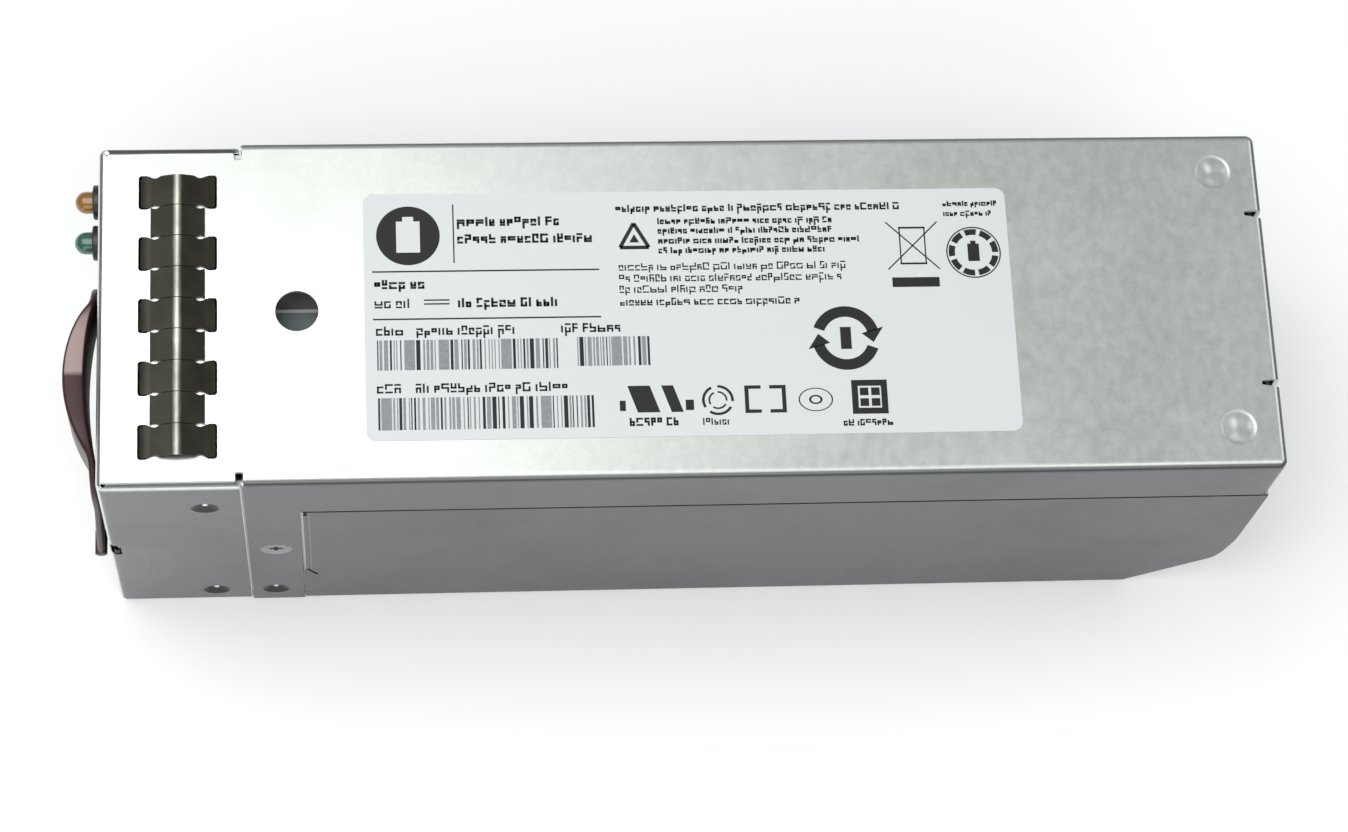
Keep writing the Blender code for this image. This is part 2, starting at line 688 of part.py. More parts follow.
def slant(handle, height, shift):
    """Lean the arms below a height out to the pivot, by the whole shift at their ends."""
    shape = bmesh.new()
    shape.from_mesh(handle.data)
    bmesh.ops.bisect_plane(
        shape, geom=shape.verts[:] + shape.edges[:] + shape.faces[:],
        plane_co=(0, 0, height), plane_no=(0, 0, 1),
    )
    for corner in shape.verts:
        if corner.co.z < height:
            corner.co.y -= shift * (1 - corner.co.z / height)
    shape.to_mesh(handle.data)
    shape.free()


def make_handle(plastic, steel, zinc):
    """A bowed U-shaped handle that turns on two pins, with its lugs."""
    pivot = bpy.data.objects.new("handle_pivot", None)
    pivot.location = (HANDLE_CENTRE_X, FRONT - PIVOT_PROUD, PIVOT_HEIGHT)
    bpy.context.scene.collection.objects.link(pivot)
    top = HANDLE_TOP - PIVOT_HEIGHT
    half, arm = HANDLE_HALF_WIDTH, HANDLE_ARM_WIDTH
    inner = half - arm
    inner_radius = HANDLE_INNER_CORNER
    outer = [(half, 0), *arc((half - HANDLE_CORNER, top - HANDLE_CORNER), HANDLE_CORNER, 0, 90, 8)]
    under = top - HANDLE_BAND_HEIGHT
    opening = [(inner, 0), *arc((inner - inner_radius, under - inner_radius), inner_radius, 0, 90, 3)]
    outline = outer + [(-x, z) for x, z in reversed(outer)]
    outline += [(-x, z) for x, z in opening] + [(x, z) for x, z in reversed(opening)]
    outside = bow(0, HANDLE_ARM_PROUD, HANDLE_PROUD)
    inside = bow(HANDLE_GRIP_THICKNESS, GAP, HANDLE_PROUD)
    plan = [(x, PIVOT_PROUD - proud) for x, proud in outside]
    plan += [(x, PIVOT_PROUD - proud) for x, proud in reversed(inside)]
    handle = prism("pull_handle", outline, "Y", -2 * HANDLE_PROUD, HANDLE_PROUD, plastic)
    curved = prism("curved", plan, "Z", -SHEET, top + SHEET)
    change(handle, curved, "INTERSECT")
    slant(handle, HANDLE_SLANT_HEIGHT, PIVOT_PROUD - (HANDLE_ARM_PROUD + GAP) / 2)
    for side in (-1, 1):
        ends = sorted((side * inner, side * half))
        eye = rod("eye", PIVOT_EYE_RADIUS, ends[0], ends[1], "X")
        join(handle, eye)
    cut(handle, rod("bore", PIVOT_PIN_RADIUS + GAP, -half - SHEET, half + SHEET, "X", segments=16))
    handle.parent = pivot
    for side, side_name in ((-1, "left"), (1, "right")):
        lug_outer = inner - GAP
        lug_inner = lug_outer - LUG_WIDTH
        ends = sorted((side * lug_inner, side * lug_outer))
        lug = rod("lug", PIVOT_EYE_RADIUS, ends[0], ends[1], "X")
        bracket = block(
            f"handle_bracket_{side_name}",
            (ends[0], 0, -LUG_FOOT), (ends[1], PIVOT_PROUD - GAP, PIVOT_EYE_RADIUS), steel,
            location=pivot.location,
        )
        lug.location = pivot.location
        join(bracket, lug)
        bore = rod("bore", PIVOT_PIN_RADIUS + GAP, ends[0] - SHEET, ends[1] + SHEET, "X",
                   location=pivot.location, segments=16)
        cut(bracket, bore)
        pin_ends = sorted((side * (lug_inner + GAP), side * (half - GAP)))
        rod(f"handle_pin_{side_name}", PIVOT_PIN_RADIUS, pin_ends[0], pin_ends[1], "X", zinc,
            location=pivot.location, segments=12)


# ---------------------------------------------------------------- cell pack

def cell_places():
    """Centres of the six cells, in YZ, front lower first."""
    return [
        (CELL_FIRST_Y + column * CELL_PITCH, CELL_FIRST_Z + row * CELL_PITCH)
        for row in range(2) for column in range(CELL_COLUMNS)
    ]


def make_cells(wrap):
    """Six round cells lying across the case."""
    half, radius = CELL_LENGTH / 2, CELL_RADIUS
    edge, crimp, groove, shoulder = CELL_EDGE, CELL_CRIMP, CELL_GROOVE, CELL_CAP_HEIGHT
    profile = [(0, -half), (radius - edge, -half), (radius, -half + edge), (radius, half - crimp - groove),
               (radius - groove, half - crimp), (radius, half - crimp + groove),
               (radius, half - shoulder - edge), (radius - edge, half - shoulder),
               (CELL_CAP_RADIUS, half - shoulder), (CELL_CAP_RADIUS - GAP, half), (0, half)]
    for number, (y, z) in enumerate(cell_places(), start=1):
        turned(f"cell_{number}", profile, "X", wrap, (0, y, z), segments=22)


def make_cell_holders(plastic):
    """A moulded holder at each end of the cells, with posts for the monitor board."""
    low = (CELL_FIRST_Y - HOLDER_MARGIN, CELL_FIRST_Z - HOLDER_MARGIN)
    high = (CELL_FIRST_Y + (CELL_COLUMNS - 1) * CELL_PITCH + HOLDER_MARGIN,
            CELL_FIRST_Z + CELL_PITCH + HOLDER_MARGIN)
    for side, side_name in ((-1, "left"), (1, "right")):
        ends = sorted((side * HOLDER_INNER_X, side * HOLDER_OUTER_X))
        holder = prism(f"cell_holder_{side_name}", rounded_rectangle(low, high, HOLDER_CORNER, 2),
                       "X", ends[0], ends[1], plastic)
        middle_x = sum(ends) / 2
        for y in (low[0] + POST_INSET, high[0] - POST_INSET):
            post = rod("post", POST_RADIUS, high[1] - SHEET, MONITOR_BOARD_Z - GAP, "Z",
                       location=(middle_x, y, 0), segments=8)
            join(holder, post)
        for y, z in cell_places():
            pocket_ends = sorted((side * (HOLDER_INNER_X - SHEET), side * HOLDER_POCKET_FLOOR))
            contact_ends = sorted((side * HOLDER_INNER_X, side * (HOLDER_OUTER_X + SHEET)))
            cut(holder,
                rod("pocket", CELL_RADIUS + GAP, *pocket_ends, "X", location=(0, y, z), segments=22),
                rod("contact", HOLDER_CONTACT_RADIUS, *contact_ends, "X", location=(0, y, z), segments=12))


def make_busbars(metals):
    """A contact plate over each end of the cells, with a pad on every cell and a lead tab."""
    inner = HOLDER_OUTER_X + GAP
    outer = inner + BUSBAR_THICKNESS
    first_y, first_z = cell_places()[0]
    last_y, last_z = cell_places()[-1]
    for side, name in ((-1, "negative"), (1, "positive")):
        ends = sorted((side * inner, side * outer))
        plate = block(
            f"busbar_{name}", (ends[0], first_y - BUSBAR_MARGIN, first_z - BUSBAR_MARGIN),
            (ends[1], last_y + BUSBAR_MARGIN, last_z + BUSBAR_MARGIN), metals[name],
        )
        tab = block("tab", (ends[0], last_y, last_z - BUSBAR_TAB_HALF),
                    (ends[1], last_y + BUSBAR_TAB_REACH, last_z + BUSBAR_TAB_HALF))
        join(plate, tab)
        pad_ends = sorted((side * (CELL_LENGTH / 2 + GAP), side * (inner + BUSBAR_THICKNESS / 2)))
        for y, z in cell_places():
            join(plate, rod("pad", BUSBAR_PAD_RADIUS, *pad_ends, "X", location=(0, y, z), segments=12))
        sheet_ends = sorted((side * (outer + GAP), side * (outer + GAP + PAPER_THICKNESS)))
        block(f"insulation_sheet_{'left' if side < 0 else 'right'}",
              (sheet_ends[0], first_y - PAPER_MARGIN, first_z - PAPER_MARGIN),
              (sheet_ends[1], last_y + PAPER_REACH, last_z + PAPER_MARGIN), metals["paper"])


def make_monitor_board(fibre, black, white):
    """The cell monitor board on top of the holders, with its chips and plugs."""
    first_y = cell_places()[0][0]
    last_y = cell_places()[-1][0]
    top = MONITOR_BOARD_Z + BOARD_THICKNESS
    half = MONITOR_BOARD_HALF_WIDTH
    block("monitor_board", (-half, first_y - MONITOR_BOARD_MARGIN, MONITOR_BOARD_Z),
          (half, last_y + MONITOR_BOARD_MARGIN, top), fibre)
    chip_x, chip_y = MONITOR_CHIP_CENTRE
    half_x, half_y, height = MONITOR_CHIP_SIZE
    block("monitor_chip", (chip_x - half_x, chip_y - half_y, top + GAP),
          (chip_x + half_x, chip_y + half_y, top + GAP + height), black)
    near, far = PLUG_EDGES
    for name, x, start_y in (("lamp", LAMP_LEAD_X, first_y - far), ("signal", 0, last_y + near)):
        block(f"{name}_plug", (x - PLUG_HALF_WIDTH, start_y, top + GAP),
              (x + PLUG_HALF_WIDTH, start_y + far - near, top + far - near), white)


# ---------------------------------------------------------------- electronics

def make_power_board(fibre, zinc):
    """The converter board on four standoffs."""
    low_x, low_y, high_x, high_y = POWER_BOARD
    block("power_board", (low_x, low_y, POWER_BOARD_Z),
          (high_x, high_y, POWER_BOARD_Z + BOARD_THICKNESS), fibre)
    columns = (low_x + BOARD_INSET_X, high_x - BOARD_INSET_X)
    rows = (low_y + BOARD_INSET_FRONT, high_y - BOARD_INSET_REAR)
    for number, (y, x) in enumerate(itertools.product(rows, columns), start=1):
        rod(f"standoff_{number}", STANDOFF_RADIUS, SHEET + GAP, POWER_BOARD_Z - GAP, "Z", zinc,
            (x, y, 0), 12)


def make_board_parts(finishes):
    """Heatsink, inductors, capacitors, fuse, controller and lead terminals on the power board."""
    seat = POWER_BOARD_Z + BOARD_THICKNESS + GAP
    left_end, front_end, right_end, rear_end = HEATSINK
    pitch = (right_end - left_end - HEATSINK_FIN) / (HEATSINK_FINS - 1)
    comb = [(left_end, seat), (right_end, seat)]
    for i in reversed(range(HEATSINK_FINS)):
        left = left_end + i * pitch
        right = left + HEATSINK_FIN
        if i < HEATSINK_FINS - 1:
            comb.append((right, seat + HEATSINK_BASE))
        comb += [(right, seat + HEATSINK_HEIGHT), (left, seat + HEATSINK_HEIGHT)]
        if i:
            comb.append((left, seat + HEATSINK_BASE))
    prism("heatsink", comb, "Y", front_end, rear_end, finishes["aluminium"])
    ring = [(INDUCTOR_MAJOR + x, z) for x, z in arc((0, 0), INDUCTOR_MINOR, 0, 315, 7)]
    for number, y in enumerate(INDUCTOR_ROWS, start=1):
        turned(f"inductor_{number}", ring, "Z", finishes["copper"],
               (INDUCTOR_X, y, seat + INDUCTOR_MINOR), 16)
    radius, edge, height = CAPACITOR_RADIUS, CAPACITOR_EDGE, CAPACITOR_HEIGHT
    can = [(0, 0), (radius - edge, 0), (radius, edge), (radius, height - edge),
           (radius - edge, height), (0, height)]
    for number, x in enumerate(CAPACITOR_COLUMNS, start=1):
        turned(f"capacitor_{number}", can, "Z", finishes["can"], (x, CAPACITOR_ROW, seat), 20)
    cap, body, end, waist = FUSE_CAP_RADIUS, FUSE_BODY_RADIUS, FUSE_HALF_LENGTH, FUSE_BODY_HALF
    fuse_body = [(0, -end), (cap, -end), (cap, -waist), (body, -waist), (body, waist), (cap, waist),
                 (cap, end), (0, end)]
    turned("fuse", fuse_body, "Y", finishes["ceramic"], (*FUSE_CENTRE, seat + FUSE_CAP_RADIUS + GAP), 16)
    low_x, low_y, high_x, high_y = CONTROLLER_CHIP
    block("controller_chip", (low_x, low_y, seat), (high_x, high_y, seat + CONTROLLER_CHIP_HEIGHT),
          finishes["black"])
    for side, name in ((-1, "negative"), (1, "positive")):
        middle = side * TERMINAL_X
        block(f"terminal_{name}", (middle - TERMINAL_HALF, TERMINAL_Y[0], seat),
              (middle + TERMINAL_HALF, TERMINAL_Y[1], seat + TERMINAL_HEIGHT), finishes["brass"])


def make_rear_connector(black):
    """The blind-mate connector on the power board, reaching through the rear wall."""
    seat = POWER_BOARD_Z + BOARD_THICKNESS + GAP
    back = REAR + CONNECTOR_PROUD
    body = block("rear_connector", (-CONNECTOR_HALF_WIDTH, CONNECTOR_FRONT, CONNECTOR_BOTTOM),
                 (CONNECTOR_HALF_WIDTH, back, CONNECTOR_TOP), black)
    leg = block("leg", (-CONNECTOR_HALF_WIDTH, CONNECTOR_FRONT, seat),
                (CONNECTOR_HALF_WIDTH, CONNECTOR_FRONT + CONNECTOR_LEG, CONNECTOR_BOTTOM + SHEET))
    join(body, leg)
    pitch = 2 * CONNECTOR_HALF_WIDTH / (CONNECTOR_SLOTS + 1)
    for i in range(CONNECTOR_SLOTS):
        x = -CONNECTOR_HALF_WIDTH + pitch * (i + 1)
        slot = block(
            "slot",
            (x - CONNECTOR_SLOT_HALF, back - CONNECTOR_SLOT_DEPTH, CONNECTOR_BOTTOM + CONNECTOR_SLOT_MARGIN),
            (x + CONNECTOR_SLOT_HALF, back + SHEET, CONNECTOR_TOP - CONNECTOR_SLOT_MARGIN),
        )
        cut(body, slot)
    return body


def make_lamp_board(fibre):
    """The small board behind the two lamps."""
    front = FRONT + LAMP_DEPTH + GAP
    return block(
        "led_board", (LAMP_BOARD_LEFT, front, LAMP_HEIGHT - LAMP_BOARD_BELOW),
        (LAMP_BOARD_RIGHT, front + BOARD_THICKNESS, LAMP_HEIGHT + LAMP_BOARD_ABOVE), fibre,
    )


def make_cable_guide(steel):
    """An angle between the front panel and the cells that keeps the leads apart."""
    floor = INNER_STEP + SHEET + GAP
    left, right = GUIDE_WALL
    under = GUIDE_TOP - (right - left)
    outline = [(left, floor), (right, floor), (right, under), (GUIDE_REACH, under),
               (GUIDE_REACH, GUIDE_TOP), (left, GUIDE_TOP)]
    return prism("cable_guide", outline, "Y", *GUIDE_ENDS, steel)


def make_foam_pad(foam):
    """The pad under the cells."""
    low_x, low_y, high_x, high_y = PAD_RECTANGLE
    return block("foam_pad", (low_x, low_y, SHEET + GAP),
                 (high_x, high_y, CELL_FIRST_Z - HOLDER_MARGIN - GAP), foam)


def make_leads(red, black, grey):
    """Leads between the busbars, the boards and the lamps."""
    seat = POWER_BOARD_Z + BOARD_THICKNESS + GAP
    tab_z = cell_places()[-1][1]
    for side, name, sleeve in ((-1, "negative", black), (1, "positive", red)):
        route = ((0.0318, 0.0095, tab_z), (0.0310, 0.0150, tab_z - 0.003), (0.0280, 0.0240, 0.032),
                 (0.0240, 0.0280, 0.024), (0.0240, 0.0280, seat + 0.0085))
        wire(f"lead_{name}", [(side * x, y, z) for x, y, z in route], LEAD_RADIUS, sleeve)
    first_y = cell_places()[0][0]
    last_y = cell_places()[-1][0]
    top = MONITOR_BOARD_Z + BOARD_THICKNESS
    plug_z = top + (PLUG_EDGES[1] - PLUG_EDGES[0]) / 2
    lamp_end = FRONT + LAMP_DEPTH + GAP + BOARD_THICKNESS + 2 * GAP
    wire("lamp_lead",
         [(LAMP_LEAD_X, lamp_end, LAMP_HEIGHT - 0.004), (LAMP_LEAD_X, -0.112, 0.066),
          (LAMP_LEAD_X, -0.095, 0.068), (LAMP_LEAD_X, first_y - 0.0135, plug_z)],
         THIN_LEAD_RADIUS, grey)
    wire("signal_lead",
         [(0, last_y + 0.0128, plug_z), (0, last_y + 0.0150, plug_z), (0, last_y + 0.0210, top - 0.006),
          (0, 0.018, 0.040), (0, 0.0255, seat + 0.006), (0, 0.0260, seat + 0.0028)],
         THIN_LEAD_RADIUS, grey)


def shade():
    """Smooth the round faces and keep the corners crisp."""
    for item in bpy.data.objects:
        if item.type == "MESH":
            item.data.shade_smooth()
            item.data.set_sharp_from_angle(angle=math.radians(35))


def main():
    clear_scene()
    steel = finish("zinc_plated_sheet", (0.45, 0.47, 0.45), 0.40, 0.85)
    zinc = finish("zinc_screw", (0.55, 0.55, 0.53), 0.35, 0.90)
    spring = finish("spring_bronze", (0.16, 0.15, 0.12), 0.35, 0.90)
    film = finish("label_film", (0.66, 0.68, 0.68), 0.45)
    black = finish("black_plastic", (0.02, 0.02, 0.02), 0.45)
    white = finish("natural_nylon", (0.75, 0.73, 0.66), 0.50)
    burgundy = finish("burgundy_plastic", (0.10, 0.03, 0.035), 0.35)
    fibre = finish("board_laminate", (0.02, 0.14, 0.06), 0.50)
    wrap = finish("cell_wrap", (0.03, 0.16, 0.30), 0.35)
    foam = finish("foam", (0.05, 0.05, 0.05), 0.90)
    red = finish("red_sleeve", (0.50, 0.02, 0.02), 0.50)
    grey = finish("grey_sleeve", (0.30, 0.30, 0.30), 0.50)
    lenses = {
        "amber": finish("amber_lens", (0.40, 0.16, 0.03), 0.15),
        "green": finish("green_lens", (0.03, 0.18, 0.12), 0.15),
    }
    metals = {
        "negative": finish("nickel_plate", (0.60, 0.58, 0.54), 0.35, 0.95),
        "positive": finish("copper_plate", (0.70, 0.35, 0.20), 0.35, 0.95),
        "paper": finish("insulation_paper", (0.45, 0.38, 0.24), 0.80),
    }
    parts = {
        "aluminium": finish("black_anodised", (0.03, 0.03, 0.03), 0.50, 0.60),
        "copper": finish("enamelled_copper", (0.45, 0.16, 0.06), 0.30, 0.80),
        "can": finish("capacitor_sleeve", (0.02, 0.03, 0.08), 0.35),
        "ceramic": finish("fuse_ceramic", (0.70, 0.68, 0.62), 0.40),
        "brass": finish("tinned_brass", (0.62, 0.55, 0.38), 0.35, 0.90),
        "black": black,
    }
    make_base_tray(steel)
    make_front_panel(steel)
    make_top_cover(steel)
    make_finger_strip(spring)
    make_label(film)
    make_lamps(lenses, black)
    make_side_screws(zinc)
    make_handle(burgundy, steel, zinc)
    make_cells(wrap)
    make_cell_holders(black)
    make_busbars(metals)
    make_monitor_board(fibre, black, white)
    make_power_board(fibre, zinc)
    make_board_parts(parts)
    make_rear_connector(black)
    make_lamp_board(fibre)
    make_cable_guide(steel)
    make_foam_pad(foam)
    make_leads(red, black, grey)
    shade()


main()
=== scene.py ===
"""Looks of a slide-in battery module: sheet-metal shell, spring fingers, label, handle and lamps."""

import json
import math
import random

import bmesh
import bpy
from mathutils import Matrix, Vector


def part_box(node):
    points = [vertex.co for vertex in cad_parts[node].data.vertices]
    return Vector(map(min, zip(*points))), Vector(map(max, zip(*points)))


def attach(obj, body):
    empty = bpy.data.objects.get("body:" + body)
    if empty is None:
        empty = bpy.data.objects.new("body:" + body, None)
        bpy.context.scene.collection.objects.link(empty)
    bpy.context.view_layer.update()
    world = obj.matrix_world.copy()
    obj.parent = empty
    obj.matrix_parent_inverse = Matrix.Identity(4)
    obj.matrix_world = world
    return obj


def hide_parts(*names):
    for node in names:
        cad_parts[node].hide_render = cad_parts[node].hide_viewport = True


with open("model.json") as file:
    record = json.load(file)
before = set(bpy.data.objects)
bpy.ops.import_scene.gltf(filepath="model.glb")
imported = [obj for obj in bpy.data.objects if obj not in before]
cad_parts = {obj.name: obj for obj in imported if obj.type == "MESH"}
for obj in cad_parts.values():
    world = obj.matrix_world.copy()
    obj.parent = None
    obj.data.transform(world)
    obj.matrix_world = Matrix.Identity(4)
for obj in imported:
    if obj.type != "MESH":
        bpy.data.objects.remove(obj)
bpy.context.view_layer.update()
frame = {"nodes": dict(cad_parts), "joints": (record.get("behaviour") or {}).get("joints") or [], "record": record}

bl_info = {
    "name": "Battery module looks",
    "version": (1, 0, 0),
    "blender": (4, 5, 0),
    "location": "View3D > Sidebar > Battery",
    "description": "Builds the visible pieces of a slide-in battery module around its packed model",
    "category": "Object",
}

MM = 0.001
COVER_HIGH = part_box("top_cover")[1]
PANEL_LOW, PANEL_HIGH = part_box("front_panel")
STRIP_LOW, STRIP_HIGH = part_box("emi_finger_strip")
LABEL_LOW, LABEL_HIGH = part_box("rating_label")
HANDLE_LOW, HANDLE_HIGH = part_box("pull_handle")
CONNECTOR_LOW, CONNECTOR_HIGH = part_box("rear_connector")
HINGE = frame["joints"][0]
FRONT = PANEL_LOW.y
REAR = COVER_HIGH.y
SIDE = COVER_HIGH.x
TOP = COVER_HIGH.z


# ---------------------------------------------------------------- settings

def length(name, description, default):
    """A length property in metres."""
    return bpy.props.FloatProperty(
        name=name, description=description, default=default, min=0.0, precision=5, unit="LENGTH"
    )


def colour(name, description, default):
    """A linear colour property."""
    return bpy.props.FloatVectorProperty(
        name=name, description=description, default=default, min=0.0, max=1.0, size=3, subtype="COLOR"
    )


def share(name, description, default):
    """A number from 0 to 1."""
    return bpy.props.FloatProperty(
        name=name, description=description, default=default, min=0.0, max=1.0, subtype="FACTOR"
    )


class ShellSettings(bpy.types.PropertyGroup):
    """Sizes and finish of the sheet-metal shell."""
    sheet: length("Sheet", "Thickness of the zinc-plated sheet", 1.0 * MM)
    bend: length("Bend", "Outer radius of the bends", 1.9 * MM)
    seam: length("Seam", "Width of the gap between two sheets", 0.35 * MM)
    zinc: colour("Zinc", "Colour of the plated sheet", (0.605, 0.64, 0.605))
    # Painted shade: this side colour stands for the shade on the outer side faces.
    shaded_side_zinc: colour("Side zinc", "Colour of the shade_painted outer side faces", (0.158, 0.161, 0.166))
    tongue_left: length("Tongue left", "Distance of the front tongue's left edge from the side", 3.0 * MM)
    tongue_right: length("Tongue right", "Distance of the front tongue's right edge from the side", 0.9 * MM)
    roughness: share("Roughness", "Mean roughness of the plating", 0.34)


class FingerSettings(bpy.types.PropertyGroup):
    """Sizes and finish of the grounding fingers."""
    count: bpy.props.IntProperty(name="Fingers", description="Number of fingers", default=9, min=1)
    thickness: length("Thickness", "Thickness of the spring strip", 0.16 * MM)
    slit: length("Slit", "Width of the slit between fingers", 0.16 * MM)
    # The flank colour is partly the strip's own dark tone and partly painted shade; the crest colour is partly
    # wear and partly a painted highlight.
    dark: colour("Tarnish_and_shade", "Colour of the flanks", (0.042, 0.040, 0.031))
    bright: colour("Crest", "Colour of the rubbed_and_highlit crest", (0.55, 0.545, 0.48))


class LabelSettings(bpy.types.PropertyGroup):
    """Sizes and finish of the printed label."""
    corner: length("Corner", "Corner radius", 2.2 * MM)
    thickness: length("Thickness", "Thickness of the film", 0.10 * MM)
    film: colour("Film", "Colour of the film", (0.60, 0.625, 0.63))
    ink: colour("Ink", "Colour of the print", (0.011, 0.011, 0.012))
    pale_ink: colour("Pale ink", "Colour of the fainter stripes", (0.17, 0.175, 0.19))


class HandleSettings(bpy.types.PropertyGroup):
    """Sizes and finish of the folding handle."""
    arm_width: length("Arm width", "Width of the two arms", 6.0 * MM)
    band_height: length("Band height", "Height of the grip", 16.0 * MM)
    corner: length("Corner", "Outer radius of the upper corners", 14.0 * MM)
    grip: length("Grip", "Thickness of the grip at its middle", 4.8 * MM)
    arm: length("Arm", "How far the arms stand off the front face", 1.9 * MM)
    plastic: colour("Plastic", "Colour of the moulding", (0.036, 0.009, 0.011))


class LampSettings(bpy.types.PropertyGroup):
    """Sizes and colours of the status lamps."""
    lens_radius: length("Lens radius", "Radius of each lens", 2.5 * MM)
    collar_radius: length("Collar radius", "Radius of each collar", 3.9 * MM)
    amber: colour("Amber", "Colour of the amber lens", (0.34, 0.15, 0.02))
    green: colour("Green", "Colour of the green lens", (0.028, 0.135, 0.095))


class StageSettings(bpy.types.PropertyGroup):
    """Camera, lights and floor."""
    lens: bpy.props.FloatProperty(
        name="Lens", description="Focal length", default=95.1, min=1.0, unit="CAMERA"
    )
    camera: bpy.props.FloatVectorProperty(
        name="Camera", description="Place of the camera", default=(0.2861, -0.0732, 0.8108), unit="LENGTH"
    )
    target: bpy.props.FloatVectorProperty(
        name="Target", description="Point at the middle of the view",
        default=(0.02598, -0.00518, 0.0840), unit="LENGTH",
    )
    roll: bpy.props.FloatProperty(
        name="Roll", description="Turn of the camera about its view", default=math.radians(12.877),
        subtype="ANGLE",
    )
    floor: colour("Floor", "Colour of the floor", (0.93, 0.93, 0.93))
    sky: share("Ambient", "Strength of the even ambient light", 0.55)
    key: bpy.props.FloatProperty(
        name="Key", description="Power of the large soft light", default=9.5, min=0.0, unit="POWER"
    )


GROUPS = (
    ("battery_shell", ShellSettings),
    ("battery_fingers", FingerSettings),
    ("battery_label", LabelSettings),
    ("battery_handle", HandleSettings),
    ("battery_lamps", LampSettings),
    ("battery_stage", StageSettings),
)


# ---------------------------------------------------------------- mesh tools

WELD = 0.0005 * MM
NEAR = 0.02 * MM


def arc(centre, radius, start, end, steps):
    """Points on an arc, with angles in degrees."""
    angles = [math.radians(start + (end - start) * i / steps) for i in range(steps + 1)]
    return [(centre[0] + radius * math.cos(a), centre[1] + radius * math.sin(a)) for a in angles]


def rounded_rectangle(low, high, radius, steps=8):
    """Outline of a rectangle with round corners, anticlockwise."""
    corners = (
        ((high[0] - radius, high[1] - radius), 0),
        ((low[0] + radius, high[1] - radius), 90),
        ((low[0] + radius, low[1] + radius), 180),
        ((high[0] - radius, low[1] + radius), 270),
    )
    return [point for centre, turn in corners for point in arc(centre, radius, turn, turn + 90, steps)]


def place(name, shape):
    """Turn a bmesh into a linked object."""
    bmesh.ops.recalc_face_normals(shape, faces=shape.faces[:])
    mesh = bpy.data.meshes.new(name)
    shape.to_mesh(mesh)
    shape.free()
    piece = bpy.data.objects.new(name, mesh)
    bpy.context.scene.collection.objects.link(piece)
    return piece


def block(low, high):
    """A box between two opposite corners, in any order."""
    pairs = [sorted(pair) for pair in zip(low, high)]
    low, high = Vector([p[0] for p in pairs]), Vector([p[1] for p in pairs])
    shape = bmesh.new()
    fit = Matrix.Translation((low + high) / 2) @ Matrix.Diagonal((*(high - low), 1.0))
    bmesh.ops.create_cube(shape, size=1.0, matrix=fit)
    return place("block", shape)


def prism(outline, axis, start, end):
    """A flat outline pushed along an axis."""
    corner = {
        "X": lambda a, b: (start, a, b),
        "Y": lambda a, b: (a, start, b),
        "Z": lambda a, b: (a, b, start),
    }[axis]
    push = {"X": Vector((1, 0, 0)), "Y": Vector((0, 1, 0)), "Z": Vector((0, 0, 1))}[axis]
    shape = bmesh.new()
    face = shape.faces.new([shape.verts.new(corner(a, b)) for a, b in outline])
    pushed = bmesh.ops.extrude_face_region(shape, geom=[face])
    moved = [item for item in pushed["geom"] if isinstance(item, bmesh.types.BMVert)]
    bmesh.ops.translate(shape, verts=moved, vec=push * (end - start))
    return place("prism", shape)


AXIS_TURN = {
    "X": Matrix.Rotation(math.pi / 2, 4, "Y"),
    "Y": Matrix.Rotation(-math.pi / 2, 4, "X"),
    "Z": Matrix.Identity(4),
}


def rod(radius, start, end, axis, centre=(0, 0, 0), segments=48):
    """A cylinder along an axis through a centre."""
    shape = bmesh.new()
    lay = Matrix.Translation(centre) @ AXIS_TURN[axis]
    bmesh.ops.create_cone(
        shape, cap_ends=True, segments=segments, radius1=radius, radius2=radius, depth=end - start,
        matrix=lay @ Matrix.Translation((0, 0, (start + end) / 2)),
    )
    return place("rod", shape)


def turned(profile, axis, centre, segments=48):
    """A profile of (radius, height) points turned about an axis through a centre."""
    shape = bmesh.new()
    points = [shape.verts.new((radius, 0, height)) for radius, height in profile]
    edges = [shape.edges.new(pair) for pair in zip(points, points[1:])]
    if profile[0][0] > 0:
        edges.append(shape.edges.new((points[-1], points[0])))
    bmesh.ops.spin(
        shape, geom=points + edges, cent=(0, 0, 0), axis=(0, 0, 1),
        angle=2 * math.pi, steps=segments, use_merge=True,
    )
    bmesh.ops.remove_doubles(shape, verts=shape.verts[:], dist=WELD)
    bmesh.ops.transform(shape, matrix=Matrix.Translation(centre) @ AXIS_TURN[axis], verts=shape.verts[:])
    return place("turned", shape)


def change(piece, tool, operation):
    """Cut or join a piece with a tool, and drop the tool."""
    bpy.context.view_layer.update()
    step = piece.modifiers.new("shape", "BOOLEAN")
    step.operation = operation
    step.object = tool
    reader = bpy.context.evaluated_depsgraph_get()
    shape = bpy.data.meshes.new_from_object(piece.evaluated_get(reader))
    piece.modifiers.remove(step)
    piece.data = shape
    bpy.data.objects.remove(tool, do_unlink=True)
    return piece


def cut(piece, *tools):
    """Take each tool away from a piece."""
    for tool in tools:
        change(piece, tool, "DIFFERENCE")
    return piece


def join(piece, *tools):
    """Unite each tool with a piece."""
    for tool in tools:
        change(piece, tool, "UNION")
    return piece


def soften(piece, radius, picks, segments=7):
    """Round the edges that a test on their two ends picks."""
    shape = bmesh.new()
    shape.from_mesh(piece.data)
    edges = [edge for edge in shape.edges if picks(edge.verts[0].co, edge.verts[1].co)]
    bmesh.ops.bevel(
        shape, geom=edges, offset=radius, offset_type="OFFSET", segments=segments,
        profile=0.5, affect="EDGES", clamp_overlap=True,
    )
    shape.to_mesh(piece.data)
    shape.free()
    return piece


def on(index, *targets):
    """An edge test: both ends lie on one of the planes across axis number index."""
    return lambda a, b: any(
        abs(a[index] - target) < NEAR and abs(b[index] - target) < NEAR for target in targets
    )


def both(*tests):
    """An edge test that holds where all its tests do."""
    return lambda a, b: all(test(a, b) for test in tests)


def either(*tests):
    """An edge test that holds where one of its tests does."""
    return lambda a, b: any(test(a, b) for test in tests)


